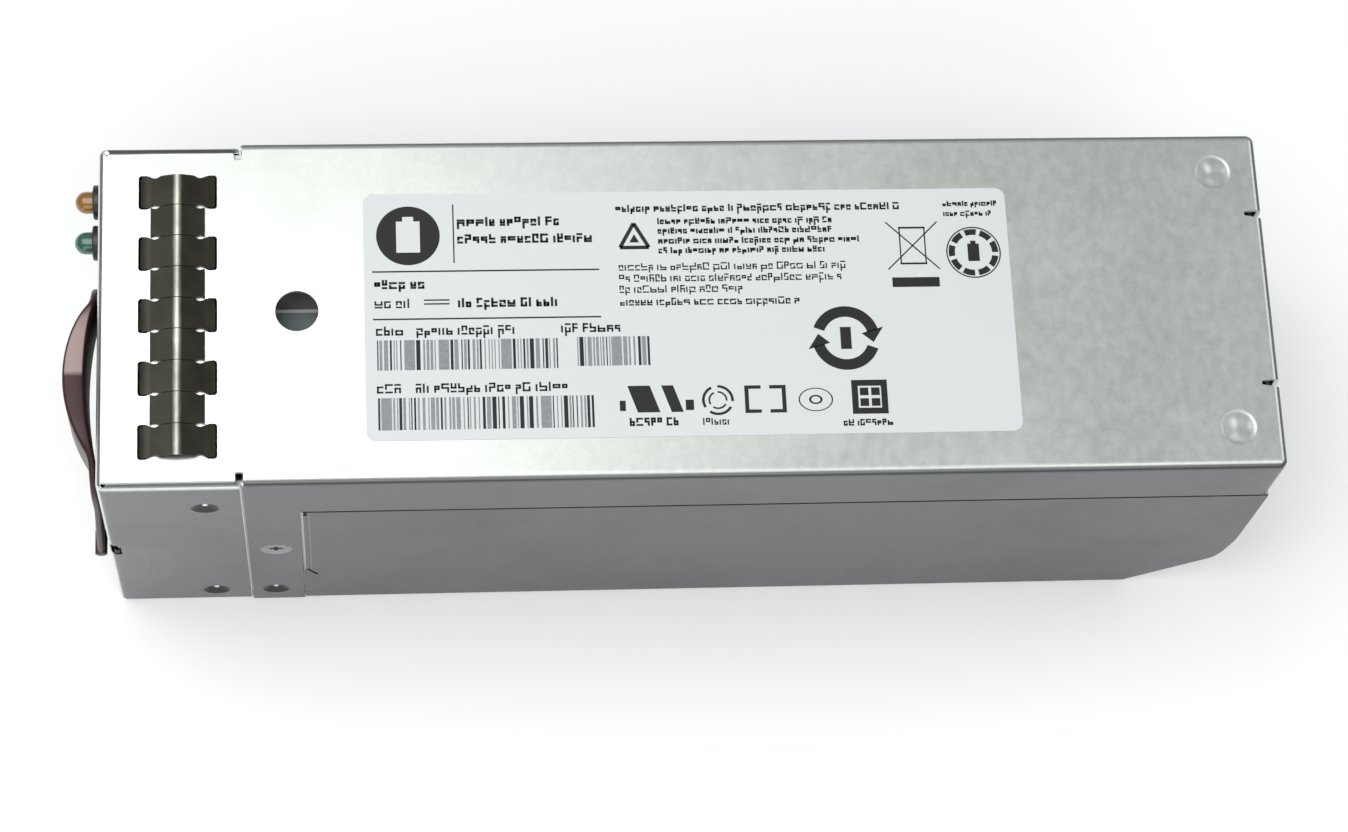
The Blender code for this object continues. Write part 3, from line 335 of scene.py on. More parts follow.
def dress(piece, name, material, replaced, body="case", sharp=32.0, weighted=True):
    """Name a finished piece, shade it, and tie it to its body, slot and replaced nodes."""
    piece.name = name
    piece.data.name = name
    piece.data.materials.clear()
    piece.data.materials.append(material)
    piece.data.shade_smooth()
    piece.data.set_sharp_from_angle(angle=math.radians(sharp))
    if weighted:
        even = piece.modifiers.new("even_shading", "WEIGHTED_NORMAL")
        even.keep_sharp = True
        even.weight = 100
    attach(piece, body)
    if replaced:
        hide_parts(*replaced)
    return piece


# ---------------------------------------------------------------- shader tools

class Value:
    """A shader socket in an expression. Each operator adds a Math node."""

    def __init__(self, recipe, socket):
        self.recipe = recipe
        self.socket = socket

    def _maths(self, operation, first, second=0.0):
        return self.recipe.add("ShaderNodeMath", {"operation": operation}, {0: first, 1: second})

    def __add__(self, other):
        return self._maths("ADD", self, other)

    def __radd__(self, other):
        return self._maths("ADD", other, self)

    def __sub__(self, other):
        return self._maths("SUBTRACT", self, other)

    def __rsub__(self, other):
        return self._maths("SUBTRACT", other, self)

    def __mul__(self, other):
        return self._maths("MULTIPLY", self, other)

    def __rmul__(self, other):
        return self._maths("MULTIPLY", other, self)

    def __truediv__(self, other):
        return self._maths("DIVIDE", self, other)

    def __abs__(self):
        return self._maths("ABSOLUTE", self)


class Recipe:
    """A material under construction: its Principled shader and the nodes that feed it."""

    def __init__(self, name, **constants):
        self.material = bpy.data.materials.new(name)
        self.material.use_nodes = True
        self.tree = self.material.node_tree
        self.shader = self.tree.nodes["Principled BSDF"]
        for key, value in constants.items():
            self.feed(self.shader.inputs[key.replace("_", " ")], value)

    def feed(self, socket, value):
        """Link a Value to a socket, or set the socket's own value."""
        if isinstance(value, Value):
            self.tree.links.new(value.socket, socket)
        elif socket.type == "RGBA" and len(value) == 3:
            socket.default_value = (*value, 1.0)
        else:
            socket.default_value = value

    def add(self, kind, settings=None, inputs=None, output=0):
        """A node of a type, with its settings, then the values or links of its sockets."""
        node = self.tree.nodes.new(kind)
        for key, value in (settings or {}).items():
            if key == "stops":
                while len(node.color_ramp.elements) < len(value):
                    node.color_ramp.elements.new(0.5)
                for element, (position, tone) in zip(node.color_ramp.elements, value):
                    element.position = position
                    element.color = (tone, tone, tone, 1.0)
            else:
                setattr(node, key, value)
        for key, value in (inputs or {}).items():
            self.feed(node.inputs[key], value)
        return Value(self, node.outputs[output])

    def where(self, stretch=(1.0, 1.0, 1.0)):
        """The piece's own coordinates in metres, stretched."""
        spot = self.add("ShaderNodeTexCoord", output="Object")
        return self.add(
            "ShaderNodeVectorMath", {"operation": "MULTIPLY"}, {0: spot, 1: stretch}
        )

    def along(self, axis):
        """One coordinate of the piece, in metres."""
        return self.add("ShaderNodeSeparateXYZ", None, {0: self.where()}, axis)

    def facing(self, axis):
        """One part of the piece's own surface normal, from -1 to 1."""
        normal = self.add("ShaderNodeTexCoord", output="Normal")
        return self.add("ShaderNodeSeparateXYZ", None, {0: normal}, axis)

    def noise(self, scale, detail=2.0, stretch=(1.0, 1.0, 1.0), roughness=0.5):
        """Noise from 0 to 1, with scale in waves a metre."""
        return self.add(
            "ShaderNodeTexNoise", None,
            {"Vector": self.where(stretch), "Scale": scale, "Detail": detail, "Roughness": roughness},
        )

    def ramp(self, factor, *stops):
        """A grey ramp over (position, tone) stops."""
        return self.add("ShaderNodeValToRGB", {"stops": stops}, {0: factor})

    def mix(self, factor, first, second):
        """Two colours mixed."""
        return self.add("ShaderNodeMix", {"data_type": "RGBA"}, {0: factor, 6: first, 7: second}, 2)

    def paint(self, **inputs):
        """Feed sockets of the shader."""
        for key, value in inputs.items():
            self.feed(self.shader.inputs[key.replace("_", " ")], value)
        return self.material

    def relief(self, height, distance, strength=1.0):
        """Feed the shader's Normal from a height."""
        bump = self.add(
            "ShaderNodeBump", None, {"Height": height, "Distance": distance, "Strength": strength}
        )
        self.feed(self.shader.inputs["Normal"], bump)
        return self


def darker(tone, by):
    """A colour scaled by a number."""
    return tuple(min(1.0, part * by) for part in tone)


# Upward normal parts between which a bend takes a painted dark reflection.
BEND_SHADE = (0.30, 0.42, 0.80, 0.92)
SKIN = 0.6 * MM
REAR_BAND = 25 * MM


def zinc_sheet(name, tone, roughness, mottling, side_shade_tone, highlight_above=1.0, lines=BEND_SHADE):
    """Zinc-plated sheet with faint spangles, painted shade on its outer side faces, a painted dark reflection
    along its bends and painted shade on its cut edges.

    Side faces higher than the given height keep a painted highlight. The lines are the upward parts of the surface
    normal between which the painted darkening of a bend or an upward face fades in and out again.
    """
    made = Recipe(name, Metallic=1.0)
    grain = made.noise(1500.0, 3.0, (1.0, 0.55, 1.0), 0.6)
    spangle = made.noise(420.0, 4.0, (0.8, 1.0, 1.0), 0.65)
    cloud = made.noise(38.0, 3.0, roughness=0.6)
    flake = made.noise(1100.0, 1.0, (1.0, 0.7, 1.0), 0.7)
    patch = made.ramp(spangle, (0.36, 0.0), (0.66, 1.0))
    tint = made.mix(patch * (0.55 * mottling), darker(tone, 0.93), darker(tone, 1.07))
    tint = made.mix(cloud * 0.30, tint, darker(tone, 0.86))
    glint = made.ramp(flake, (0.52, 0.0), (0.70, 1.0)) * (0.25 * mottling)
    tint = made.mix(glint, tint, darker(tone, 1.14))
    # Painted shade: the outer side faces take the darker side tone in place of the shade they lie in.
    side_shade_mask = made.ramp((abs(made.along(0)) - (SIDE - SKIN)) / SKIN, (0.05, 0.0), (0.55, 1.0))
    # Painted highlight: side faces above the given height keep the bright tone.
    side_shade_mask = side_shade_mask * made.ramp((highlight_above - made.along(2)) / MM, (0.0, 0.0), (1.0, 1.0))
    shade_tint = made.mix(patch * (0.5 * mottling), darker(side_shade_tone, 0.92), darker(side_shade_tone, 1.08))
    tint = made.mix(side_shade_mask, tint, made.mix(cloud * 0.5, shade_tint, darker(side_shade_tone, 0.82)))
    low, dark_from, dark_to, high = lines
    # Painted dark reflection along the bends and painted shade on cut edges, both mixed in as the dark side tone.
    bend_shade = made.ramp(made.facing(2), (low, 0.0), (dark_from, 1.0), (dark_to, 1.0), (high, 0.0))
    before_rear = made.ramp((REAR - REAR_BAND - made.along(1)) / MM, (0.0, 0.0), (1.0, 1.0))
    cut_edge_shade = made.ramp(made.facing(1), (0.80, 0.0), (0.92, 1.0)) * before_rear
    tint = made.mix(bend_shade * 0.80 + cut_edge_shade * (1.0 - bend_shade), tint, darker(side_shade_tone, 0.30))
    made.relief(grain * 0.5 + spangle * 0.5, 0.02 * MM, 0.5)
    smudge = made.ramp(cloud, (0.42, 0.0), (0.70, 1.0))
    return made.paint(Base_Color=tint, Roughness=roughness + (spangle - 0.5) * 0.16 + smudge * 0.06)


def spring_metal(name, dark, bright, crest_y, crest_half):
    """Spring strip with dark flanks, partly its own colour and partly painted shade, and a bright worn crest that
    is partly a painted highlight.
    """
    made = Recipe(name, Metallic=1.0)
    off = abs(made.along(1) - crest_y) / crest_half
    scuff = made.noise(900.0, 4.0, (0.25, 1.0, 1.0), 0.6)
    wear = made.noise(110.0, 2.0, (1.0, 0.2, 1.0), 0.6)
    # Painted highlight along the crest, mixed with wear; the dark flanks are partly painted shade.
    rub_and_highlight = made.ramp(off + (scuff - 0.5) * 0.45, (0.12, 1.0), (0.36, 0.45), (0.80, 0.0))
    rub_and_highlight = rub_and_highlight * made.ramp(wear, (0.30, 0.45), (0.62, 1.0))
    haze = made.noise(240.0, 3.0)
    flank = made.mix(haze, darker(dark, 0.75), darker(dark, 1.5))
    made.relief(scuff, 0.01 * MM, 0.4)
    return made.paint(Base_Color=made.mix(rub_and_highlight, flank, bright), Roughness=0.30 + haze * 0.14)


def moulded(name, tone, roughness, texture=0.5, coat=0.0):
    """Moulded plastic with a fine texture and faint marks."""
    made = Recipe(name, Coat_Weight=coat, Coat_Roughness=0.12)
    grain = made.noise(2600.0, 3.0)
    marks = made.noise(90.0, 4.0, roughness=0.7)
    made.relief(grain, 0.012 * MM, texture)
    tint = made.mix(marks, darker(tone, 0.85), darker(tone, 1.18))
    return made.paint(Base_Color=tint, Roughness=roughness + (marks - 0.5) * 0.12)


def printed_film(name, tone):
    """Satin label film with faint handling marks."""
    made = Recipe(name, IOR=1.45)
    cloud = made.noise(26.0, 3.0)
    grain = made.noise(2200.0, 2.0)
    made.relief(grain, 0.004 * MM, 0.3)
    tint = made.mix(cloud * 0.6, darker(tone, 0.965), darker(tone, 1.03))
    return made.paint(Base_Color=tint, Roughness=0.40 + cloud * 0.10)


def ink(name, tone):
    """Printed ink, a little uneven."""
    made = Recipe(name, Specular_IOR_Level=0.25)
    speck = made.noise(1800.0, 2.0)
    tint = made.mix(speck * 0.5, tone, darker(tone, 2.6))
    return made.paint(Base_Color=tint, Roughness=0.45 + speck * 0.1)


def lens_resin(name, tone):
    """Tinted cast resin of a lamp."""
    made = Recipe(
        name, Transmission_Weight=0.45, IOR=1.52, Coat_Weight=0.6, Coat_Roughness=0.04,
    )
    depth = made.noise(300.0, 2.0)
    made.relief(depth, 0.01 * MM, 0.15)
    return made.paint(
        Base_Color=made.mix(depth, darker(tone, 0.8), darker(tone, 1.35)), Roughness=0.12 + depth * 0.08
    )


def plated(name, tone, roughness, lay=(1.0, 1.0, 1.0)):
    """Plated metal with fine machining lines."""
    made = Recipe(name, Metallic=1.0)
    lines = made.noise(1600.0, 3.0, lay)
    marks = made.noise(200.0, 3.0)
    made.relief(lines, 0.01 * MM, 0.5)
    tint = made.mix(marks, darker(tone, 0.8), darker(tone, 1.12))
    return made.paint(Base_Color=tint, Roughness=roughness + (lines - 0.5) * 0.14)


def circuit_board(name, tone, copper):
    """Solder-masked laminate with faint tracks under the mask."""
    made = Recipe(name, Coat_Weight=0.4, Coat_Roughness=0.2)
    tracks = made.add(
        "ShaderNodeTexBrick", None,
        {"Vector": made.where(), "Scale": 190.0, "Mortar Size": 0.06,
         "Color1": (0.0, 0.0, 0.0), "Color2": (0.0, 0.0, 0.0), "Mortar": (1.0, 1.0, 1.0)},
    )
    weave = made.noise(700.0, 2.0, (1.0, 0.2, 1.0))
    base = made.mix(weave * 0.6, tone, darker(tone, 1.4))
    made.relief(weave, 0.01 * MM, 0.3)
    return made.paint(Base_Color=made.mix(tracks * 0.55, base, copper), Roughness=0.42 + weave * 0.1)


def wound(name, tone, pitch_per_metre):
    """Enamelled wire wound on a ring."""
    made = Recipe(name, Metallic=0.6, Coat_Weight=0.5)
    turns = made.add(
        "ShaderNodeTexWave", {"wave_type": "BANDS", "bands_direction": "DIAGONAL"},
        {"Vector": made.where(), "Scale": pitch_per_metre, "Distortion": 0.6}, "Fac",
    )
    made.relief(turns, 0.2 * MM, 0.8)
    return made.paint(Base_Color=made.mix(turns, darker(tone, 0.35), tone), Roughness=0.25 + turns * 0.2)


def fibrous(name, tone, roughness, scale):
    """Paper, foam or sleeve with a soft matt grain."""
    made = Recipe(name)
    fibre = made.noise(scale, 5.0, (1.0, 0.4, 1.0), 0.7)
    made.relief(fibre, 0.05 * MM, 0.6)
    tint = made.mix(fibre, darker(tone, 0.7), darker(tone, 1.25))
    return made.paint(Base_Color=tint, Roughness=roughness)


# ---------------------------------------------------------------- shell pieces

def behind(distance):
    """Y of a point so many metres behind the front face."""
    return FRONT + distance


PANEL_SCREWS = ((22.8 * MM, 68.2 * MM, 3.05 * MM), (22.8 * MM, 7.9 * MM, 3.05 * MM))
TAB_SCREWS = ((37.4 * MM, 37.8 * MM, 3.8 * MM), (36.6 * MM, 7.7 * MM, 3.05 * MM))
STUD_INSET, STUD_OFFSET, STUD_RADIUS = 10.5 * MM, 30.6 * MM, 4.2 * MM
SEAM_Y = behind(31.3 * MM)
TAB_Y = behind(43.2 * MM)
FLANGE_Z = 64.6 * MM
TONGUE_SETBACK, UPRIGHT = 0.9 * MM, 0.1 * MM
CHAMFER, NOTCH_X = 2.3 * MM, 20.3 * MM
HOLE_RADIUS, HOLE_SPOT = 4.7 * MM, (0.3 * MM, behind(43.4 * MM), TOP)


def screw_holes(stations, radius=None):
    """Cutters straight across the case at each side-screw station."""
    return [
        rod(radius or recess, -SIDE - MM, SIDE + MM, "X", (0, behind(distance), height))
        for distance, height, recess in stations
    ]


def clinch_cup(side, sheet):
    """A pressed clinch: a shallow cup with a soft wall and a two-lobed middle."""
    centre = Vector((side * STUD_OFFSET, REAR - STUD_INSET, TOP))
    rings, spokes = 18, 64
    shape = bmesh.new()

    def height(radius, turn):
        share_out = radius / STUD_RADIUS
        wall = 1.0 / (1.0 + math.exp((share_out - 0.90) / 0.025))
        lobes = 0.15 * MM * math.cos(2 * turn) * math.sin(math.pi * min(1.0, share_out / 0.88)) ** 2
        return wall * (lobes - 0.16 * MM) if share_out < 0.999 else 0.0

    def ring_at(radius, level=None):
        points = []
        for i in range(spokes):
            turn = 2 * math.pi * i / spokes + math.radians(20)
            z = height(radius, turn) if level is None else level
            points.append(shape.verts.new(
                centre + Vector((radius * math.cos(turn), radius * math.sin(turn), z))
            ))
        return points

    top = [ring_at(STUD_RADIUS * (i + 1) / rings) for i in range(rings)]
    middle = shape.verts.new(centre + Vector((0, 0, height(0.0, 0.0))))
    under = ring_at(STUD_RADIUS, -sheet)
    for i in range(spokes):
        j = (i + 1) % spokes
        shape.faces.new((middle, top[0][i], top[0][j]))
        for inner, outer in zip(top, top[1:]):
            shape.faces.new((inner[i], outer[i], outer[j], inner[j]))
        shape.faces.new((top[-1][i], under[i], under[j], top[-1][j]))
    shape.faces.new(under)
    return place("cup", shape)


class BATTERY_OT_cover(bpy.types.Operator):
    """Build the top cover with its flanges, windows, hole and clinches"""
    bl_idname = "battery.cover"
    bl_label = "Top cover"

    def execute(self, context):
        fit = context.scene.battery_shell
        sheet, bend = fit.sheet, fit.bend
        body = block((-SIDE, SEAM_Y, FLANGE_Z), (SIDE, REAR, TOP))
        rounding = either(
            both(on(0, -SIDE, SIDE), on(2, TOP)), both(on(1, REAR), on(2, TOP)),
            both(on(0, -SIDE, SIDE), on(1, REAR)),
        )
        soften(body, bend, rounding)
        inside = block(
            (-SIDE + sheet, SEAM_Y - sheet, FLANGE_Z - sheet), (SIDE - sheet, REAR - sheet, TOP - sheet)
        )
        inner_rounding = either(
            both(on(0, -SIDE + sheet, SIDE - sheet), on(2, TOP - sheet)),
            both(on(1, REAR - sheet), on(2, TOP - sheet)),
        )
        soften(inside, bend - sheet, inner_rounding, 4)
        cut(body, inside)
        left, right, tip = -SIDE + fit.tongue_left, SIDE - fit.tongue_right, FRONT + TONGUE_SETBACK
        tongue = block((left, tip, TOP - sheet), (right, SEAM_Y + sheet, TOP))
        soften(tongue, 0.5 * MM, both(on(1, tip), on(2, TOP)), 4)
        upright_corners = both(
            on(0, left, right), lambda a, b: abs(a.z - b.z) > UPRIGHT and max(a.y, b.y) < SEAM_Y
        )
        soften(tongue, 1.2 * MM, upright_corners, 4)
        join(body, tongue)
        for side, relief_inset in ((-1, fit.tongue_left + 1.2 * MM), (1, fit.tongue_right + 1.9 * MM)):
            tab = block(
                (side * (SIDE - sheet), SEAM_Y, 0.3 * MM), (side * SIDE, TAB_Y, FLANGE_Z + sheet)
            )
            reach = sorted((side * (SIDE - relief_inset), side * (SIDE + 2 * MM)))
            relief = prism(
                rounded_rectangle((reach[0], SEAM_Y - 1.4 * MM), (reach[1], SEAM_Y + 0.3 * MM), 0.35 * MM),
                "Z", TOP - 2 * sheet, TOP + sheet,
            )
            corner = prism(
                [(side * (SIDE - CHAMFER), REAR + MM), (side * (SIDE + MM), REAR + MM),
                 (side * (SIDE + MM), REAR - CHAMFER)], "Z", TOP - 2.6 * MM, TOP + MM,
            )
            half_notch = [(0.9 * MM, REAR + MM), (0.9 * MM, REAR - 1.6 * MM), (0.4 * MM, REAR - 4.2 * MM)]
            outline = [(side * NOTCH_X - x, y) for x, y in half_notch]
            outline += [(side * NOTCH_X + x, y) for x, y in reversed(half_notch)]
            notch = prism(outline, "Z", TOP - 7 * MM, TOP + MM)
            join(body, tab)
            spot = (side * STUD_OFFSET, REAR - STUD_INSET, TOP)
            cut(body, relief, corner, notch, rod(STUD_RADIUS, -2 * sheet, sheet, "Z", spot, 64))
        cut(body, *screw_holes(TAB_SCREWS))
        cut(body, rod(HOLE_RADIUS, -2 * sheet, sheet, "Z", HOLE_SPOT, 64))
        cut(body, *finger_windows(context.scene.battery_fingers))
        zinc = zinc_sheet("zinc_cover", fit.zinc, fit.roughness, 1.0, fit.shaded_side_zinc)
        dress(body, "cover_shell", zinc, ["top_cover"])
        for side, name in ((-1, "left"), (1, "right")):
            dress(clinch_cup(side, sheet), f"cover_clinch_{name}", zinc, [],
                  sharp=60, weighted=False)
        return {"FINISHED"}


def rear_outline(inset, top):
    """Side outline of the tray's rear end with its sloped, round-kneed lower corner."""
    slope = math.atan2(16.3 * MM, 18.0 * MM)
    start = (REAR - 20.5 * MM - inset * math.tan(slope / 2), inset)
    low_knee = Vector((REAR - 2.5 * MM, 16.3 * MM))
    high_knee = Vector((REAR, 24.0 * MM))
    corner = Vector((REAR - 0.6 * MM, 18.6 * MM))
    knee = []
    for i in range(9):
        t = i / 8
        point = (1 - t) ** 2 * low_knee + 2 * t * (1 - t) * corner + t ** 2 * high_knee
        direction = 2 * (1 - t) * (corner - low_knee) + 2 * t * (high_knee - corner)
        inward = Vector((-direction.y, direction.x)).normalized()
        knee.append(tuple(point + inward * inset))
    return [start, *knee, (REAR - inset, top)]


WALL_TOP, GROOVE_FOOT, RELIEF_DROP = 80 * MM, 20 * MM, 2.6 * MM


class BATTERY_OT_tray(bpy.types.Operator):
    """Build the base tray with its lap under the cover and its sloped rear"""
    bl_idname = "battery.tray"
    bl_label = "Base tray"

    def execute(self, context):
        fit = context.scene.battery_shell
        sheet, seam = fit.sheet, fit.seam
        shelf = FLANGE_Z - seam
        inner = SIDE - sheet - seam
        start = TAB_Y + seam
        body = prism([(start, 0), *rear_outline(0, shelf), (start, shelf)], "X", -SIDE, SIDE)
        soften(body, 1.5 * MM, both(on(0, -SIDE, SIDE), lambda a, b: max(a.z, b.z) < shelf - MM
                                    and min(a.y, b.y) > start - MM and abs(a.y - b.y) > 0.05 * MM))
        front_floor = sheet + seam
        panel_end = SEAM_Y - 0.1 * MM
        back = REAR - sheet - seam
        inset = [
            (FRONT + 2 * sheet, front_floor), (panel_end, front_floor), (panel_end, 0),
            (start + sheet / 2, 0), (start + sheet / 2, shelf - 2 * sheet), (back, shelf - 2 * sheet),
            (back, WALL_TOP), (FRONT + 2 * sheet, WALL_TOP),
        ]
        join(body, prism(inset, "X", -inner, inner))
        cavity = prism(
            [(start + sheet, sheet), *rear_outline(sheet, shelf - sheet), (start + sheet, shelf - sheet)],
            "X", -SIDE + sheet, SIDE - sheet,
        )
        back = REAR - 2 * sheet - seam
        hollow = [
            (FRONT, front_floor + sheet), (panel_end + sheet, front_floor + sheet),
            (panel_end + sheet, sheet), (start + 2 * sheet, sheet), (start + 2 * sheet, shelf - 3 * sheet),
            (back, shelf - 3 * sheet), (back, TOP + sheet), (FRONT, TOP + sheet),
        ]
        cut(body, cavity, prism(hollow, "X", sheet - inner, inner - sheet))
        cut(body, *screw_holes(PANEL_SCREWS + TAB_SCREWS, 1.6 * MM))
        for side in (-1, 1):
            outer = side * (SIDE + MM)
            skin, deep = side * (SIDE - 0.35 * MM), side * (SIDE - 0.85 * MM)
            relief = block(
                (side * (SIDE - 6 * sheet), start - 0.6 * MM, shelf - RELIEF_DROP),
                (outer, start + 1.2 * MM, shelf),
            )
            groove = block(
                (skin, start + 1.3 * MM, GROOVE_FOOT), (outer, start + 1.75 * MM, shelf - RELIEF_DROP)
            )
            seam_cut = block((deep, start - MM, GROOVE_FOOT), (outer, start + 0.35 * MM, shelf + MM))
            shelf_cut = block((deep, start - MM, shelf - 0.45 * MM), (outer, REAR + MM, shelf + MM))
            nick = prism(
                [(start + 0.2 * MM, 22.6 * MM), (start + 0.8 * MM, 22.8 * MM), (start + 3.2 * MM, 18.6 * MM),
                 (start + 2.6 * MM, 18.2 * MM)], "X", *sorted((skin, outer)),
            )
            cut(body, relief, groove, nick, seam_cut, shelf_cut)
        gap = 0.3 * MM
        mouth = rounded_rectangle(
            (CONNECTOR_LOW.x - gap, 25.7 * MM), (CONNECTOR_HIGH.x + gap, 44.3 * MM), 1.0 * MM
        )
        cut(body, prism(mouth, "Y", REAR - 2 * sheet, REAR + sheet))
        zinc = zinc_sheet("zinc_tray", fit.zinc, fit.roughness + 0.04, 0.8, fit.shaded_side_zinc)
        dress(body, "tray_shell", zinc, ["base_tray"])
        return {"FINISHED"}


class BATTERY_OT_panel(bpy.types.Operator):
    """Build the front panel with its flanges and slots"""
    bl_idname = "battery.panel"
    bl_label = "Front panel"

    def execute(self, context):
        fit = context.scene.battery_shell
        sheet, bend = fit.sheet, fit.bend
        top, back = PANEL_HIGH.z, PANEL_HIGH.y
        body = block((-SIDE, FRONT, 0), (SIDE, back, top))
        rounding = either(
            both(on(0, -SIDE, SIDE), on(2, 0, top)), both(on(0, -SIDE, SIDE), on(1, FRONT)),
            both(on(1, FRONT), on(2, 0, top)),
        )
        soften(body, bend, rounding)
        inside = block((-SIDE + sheet, FRONT + sheet, sheet), (SIDE - sheet, back + sheet, top - sheet))
        inner_rounding = either(
            both(on(0, -SIDE + sheet, SIDE - sheet), on(2, sheet, top - sheet)),
            both(on(0, -SIDE + sheet, SIDE - sheet), on(1, FRONT + sheet)),
            both(on(1, FRONT + sheet), on(2, sheet, top - sheet)),
        )
        soften(inside, bend - sheet, inner_rounding, 4)
        lip = 6 * MM
        opening = block((-SIDE + lip, FRONT + lip, top - 2 * sheet), (SIDE - lip, back + sheet, top + sheet))
        cut(body, inside, opening)
        for side in (-1, 1):
            slot = prism(
                rounded_rectangle((behind(0.45 * MM), 36.2 * MM), (behind(2.8 * MM), 42.4 * MM), 0.7 * MM),
                "X", *sorted((side * (SIDE - 2 * sheet), side * (SIDE + sheet))),
            )
            corner = rod(0.9 * MM, -2 * sheet, sheet, "Z", (side * (SIDE - 1.5 * MM), behind(1.5 * MM), top))
            relief = block(
                (side * (SIDE - 5 * MM), back - 1.2 * MM, top - 2 * sheet),
                (side * (SIDE - 0.9 * MM), back + MM, top + MM),
            )
            step = block(
                (side * (SIDE - 0.8 * MM), back - 0.3 * MM, -MM), (side * (SIDE + MM), back + MM, top + MM)
            )
            cut(body, slot, corner, relief, step)
        cut(body, *screw_holes(PANEL_SCREWS))
        for lamp in ("led_amber", "led_green"):
            low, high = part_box(lamp)
            centre = (low + high) / 2
            cut(body, rod(3.2 * MM, -2 * sheet, 2 * sheet, "Y", (centre.x, FRONT, centre.z)))
        # Painted highlight: the panel's paler zinc and its bright band above the given height stand for the
        # highlight along its upper bend; its lines paint shade on its upward faces.
        zinc = zinc_sheet(
            "zinc_panel", darker(fit.zinc, 1.25), fit.roughness - 0.06, 0.9, fit.shaded_side_zinc,
            highlight_above=top - 0.9 * MM, lines=(0.55, 0.68, 0.999, 1.0),
        )
        dress(body, "panel_shell", zinc, ["front_panel"])
        return {"FINISHED"}


# ---------------------------------------------------------------- spring fingers

FINGER_PITCH = (STRIP_HIGH.x - STRIP_LOW.x) / 9
CREST_Y = (STRIP_LOW.y + STRIP_HIGH.y) / 2
WIDE_REACH, NARROW_REACH = 8.1 * MM, 5.9 * MM
WINDOW_NEAR, WINDOW_FAR, WINDOW_HALF = 6.2 * MM, 8.55 * MM, 4.0 * MM
CROWN, SLOPE_END, SLOPE_FOOT = 0.9 * MM, 6.0 * MM, 0.42 * MM
WAIST_START, WAIST_END, WAIST_DEPTH = 3.6 * MM, 6.0 * MM, 0.46 * MM


def finger_x(index):
    """X of the middle of one finger."""
    return STRIP_LOW.x + (index + 0.5) * FINGER_PITCH


def finger_windows(fit):
    """Cutters for the windows that the wide fingers hook into."""
    tools = []
    for index in range(0, fit.count, 2):
        for end in (-1, 1):
            near, far = sorted((CREST_Y + end * WINDOW_NEAR, CREST_Y + end * WINDOW_FAR))
            x = finger_x(index)
            outline = rounded_rectangle((x - WINDOW_HALF, near), (x + WINDOW_HALF, far), 0.7 * MM, 5)
            tools.append(prism(outline, "Z", TOP - 2 * MM, TOP + MM))
    return tools


def finger_height(reach):
    """Height of a finger's upper face above the panel, at a distance from its crest."""
    peak = STRIP_HIGH.z - TOP - 0.1 * MM
    fall = (peak - SLOPE_FOOT) / (SLOPE_END - CROWN / 2)
    if reach < CROWN:
        return peak - fall * reach ** 2 / (2 * CROWN)
    if reach < SLOPE_END:
        return peak - fall * (reach - CROWN / 2)
    beyond = reach - SLOPE_END
    return SLOPE_FOOT - 0.15 * beyond - 75.0 * beyond ** 2


def finger_half_width(reach, slit):
    """Half the width of a finger at a distance from its crest, with its lens-shaped waists."""
    plain = FINGER_PITCH / 2 - slit / 2
    if reach < WAIST_START:
        return plain
    if reach < WAIST_END:
        return plain - WAIST_DEPTH * math.sin(math.pi * (reach - WAIST_START) / (WAIST_END - WAIST_START))
    corner = 0.6 * MM
    into = max(0.0, reach - (WIDE_REACH - corner))
    return plain + 0.16 * MM - (corner - math.sqrt(max(0.0, corner ** 2 - into ** 2)))


def add_finger(shape, x, wide, fit):
    """One finger as a thin closed strip bent over its crest."""
    reach = WIDE_REACH if wide else NARROW_REACH
    steps, across = 26, 6
    upper, lower = [], []
    for i in range(-steps, steps + 1):
        along = abs(i) / steps * reach
        half = finger_half_width(along, fit.slit)
        level = TOP + finger_height(along)
        y = CREST_Y + math.copysign(along, i)
        row = [x + half * (2 * j / across - 1) for j in range(across + 1)]
        upper.append([shape.verts.new((px, y, level)) for px in row])
        lower.append([shape.verts.new((px, y, level - fit.thickness)) for px in row])
    last = len(upper) - 1
    for i in range(last):
        for j in range(across):
            shape.faces.new((upper[i][j], upper[i][j + 1], upper[i + 1][j + 1], upper[i + 1][j]))
            shape.faces.new((lower[i][j], lower[i + 1][j], lower[i + 1][j + 1], lower[i][j + 1]))
        for j in (0, across):
            shape.faces.new((upper[i][j], upper[i + 1][j], lower[i + 1][j], lower[i][j]))
    for i in (0, last):
        for j in range(across):
            shape.faces.new((upper[i][j], lower[i][j], lower[i][j + 1], upper[i][j + 1]))


class BATTERY_OT_fingers(bpy.types.Operator):
    """Build the strip of grounding fingers"""
    bl_idname = "battery.fingers"
    bl_label = "Spring fingers"

    def execute(self, context):
        fit = context.scene.battery_fingers
        shape = bmesh.new()
        for index in range(fit.count):
            add_finger(shape, finger_x(index), index % 2 == 0, fit)
        metal = spring_metal("spring_strip", fit.dark, fit.bright, CREST_Y, 1.3 * MM)
        dress(place("fingers", shape), "spring_fingers", metal, ["emi_finger_strip"],
              sharp=40, weighted=False)
        return {"FINISHED"}


# ---------------------------------------------------------------- label

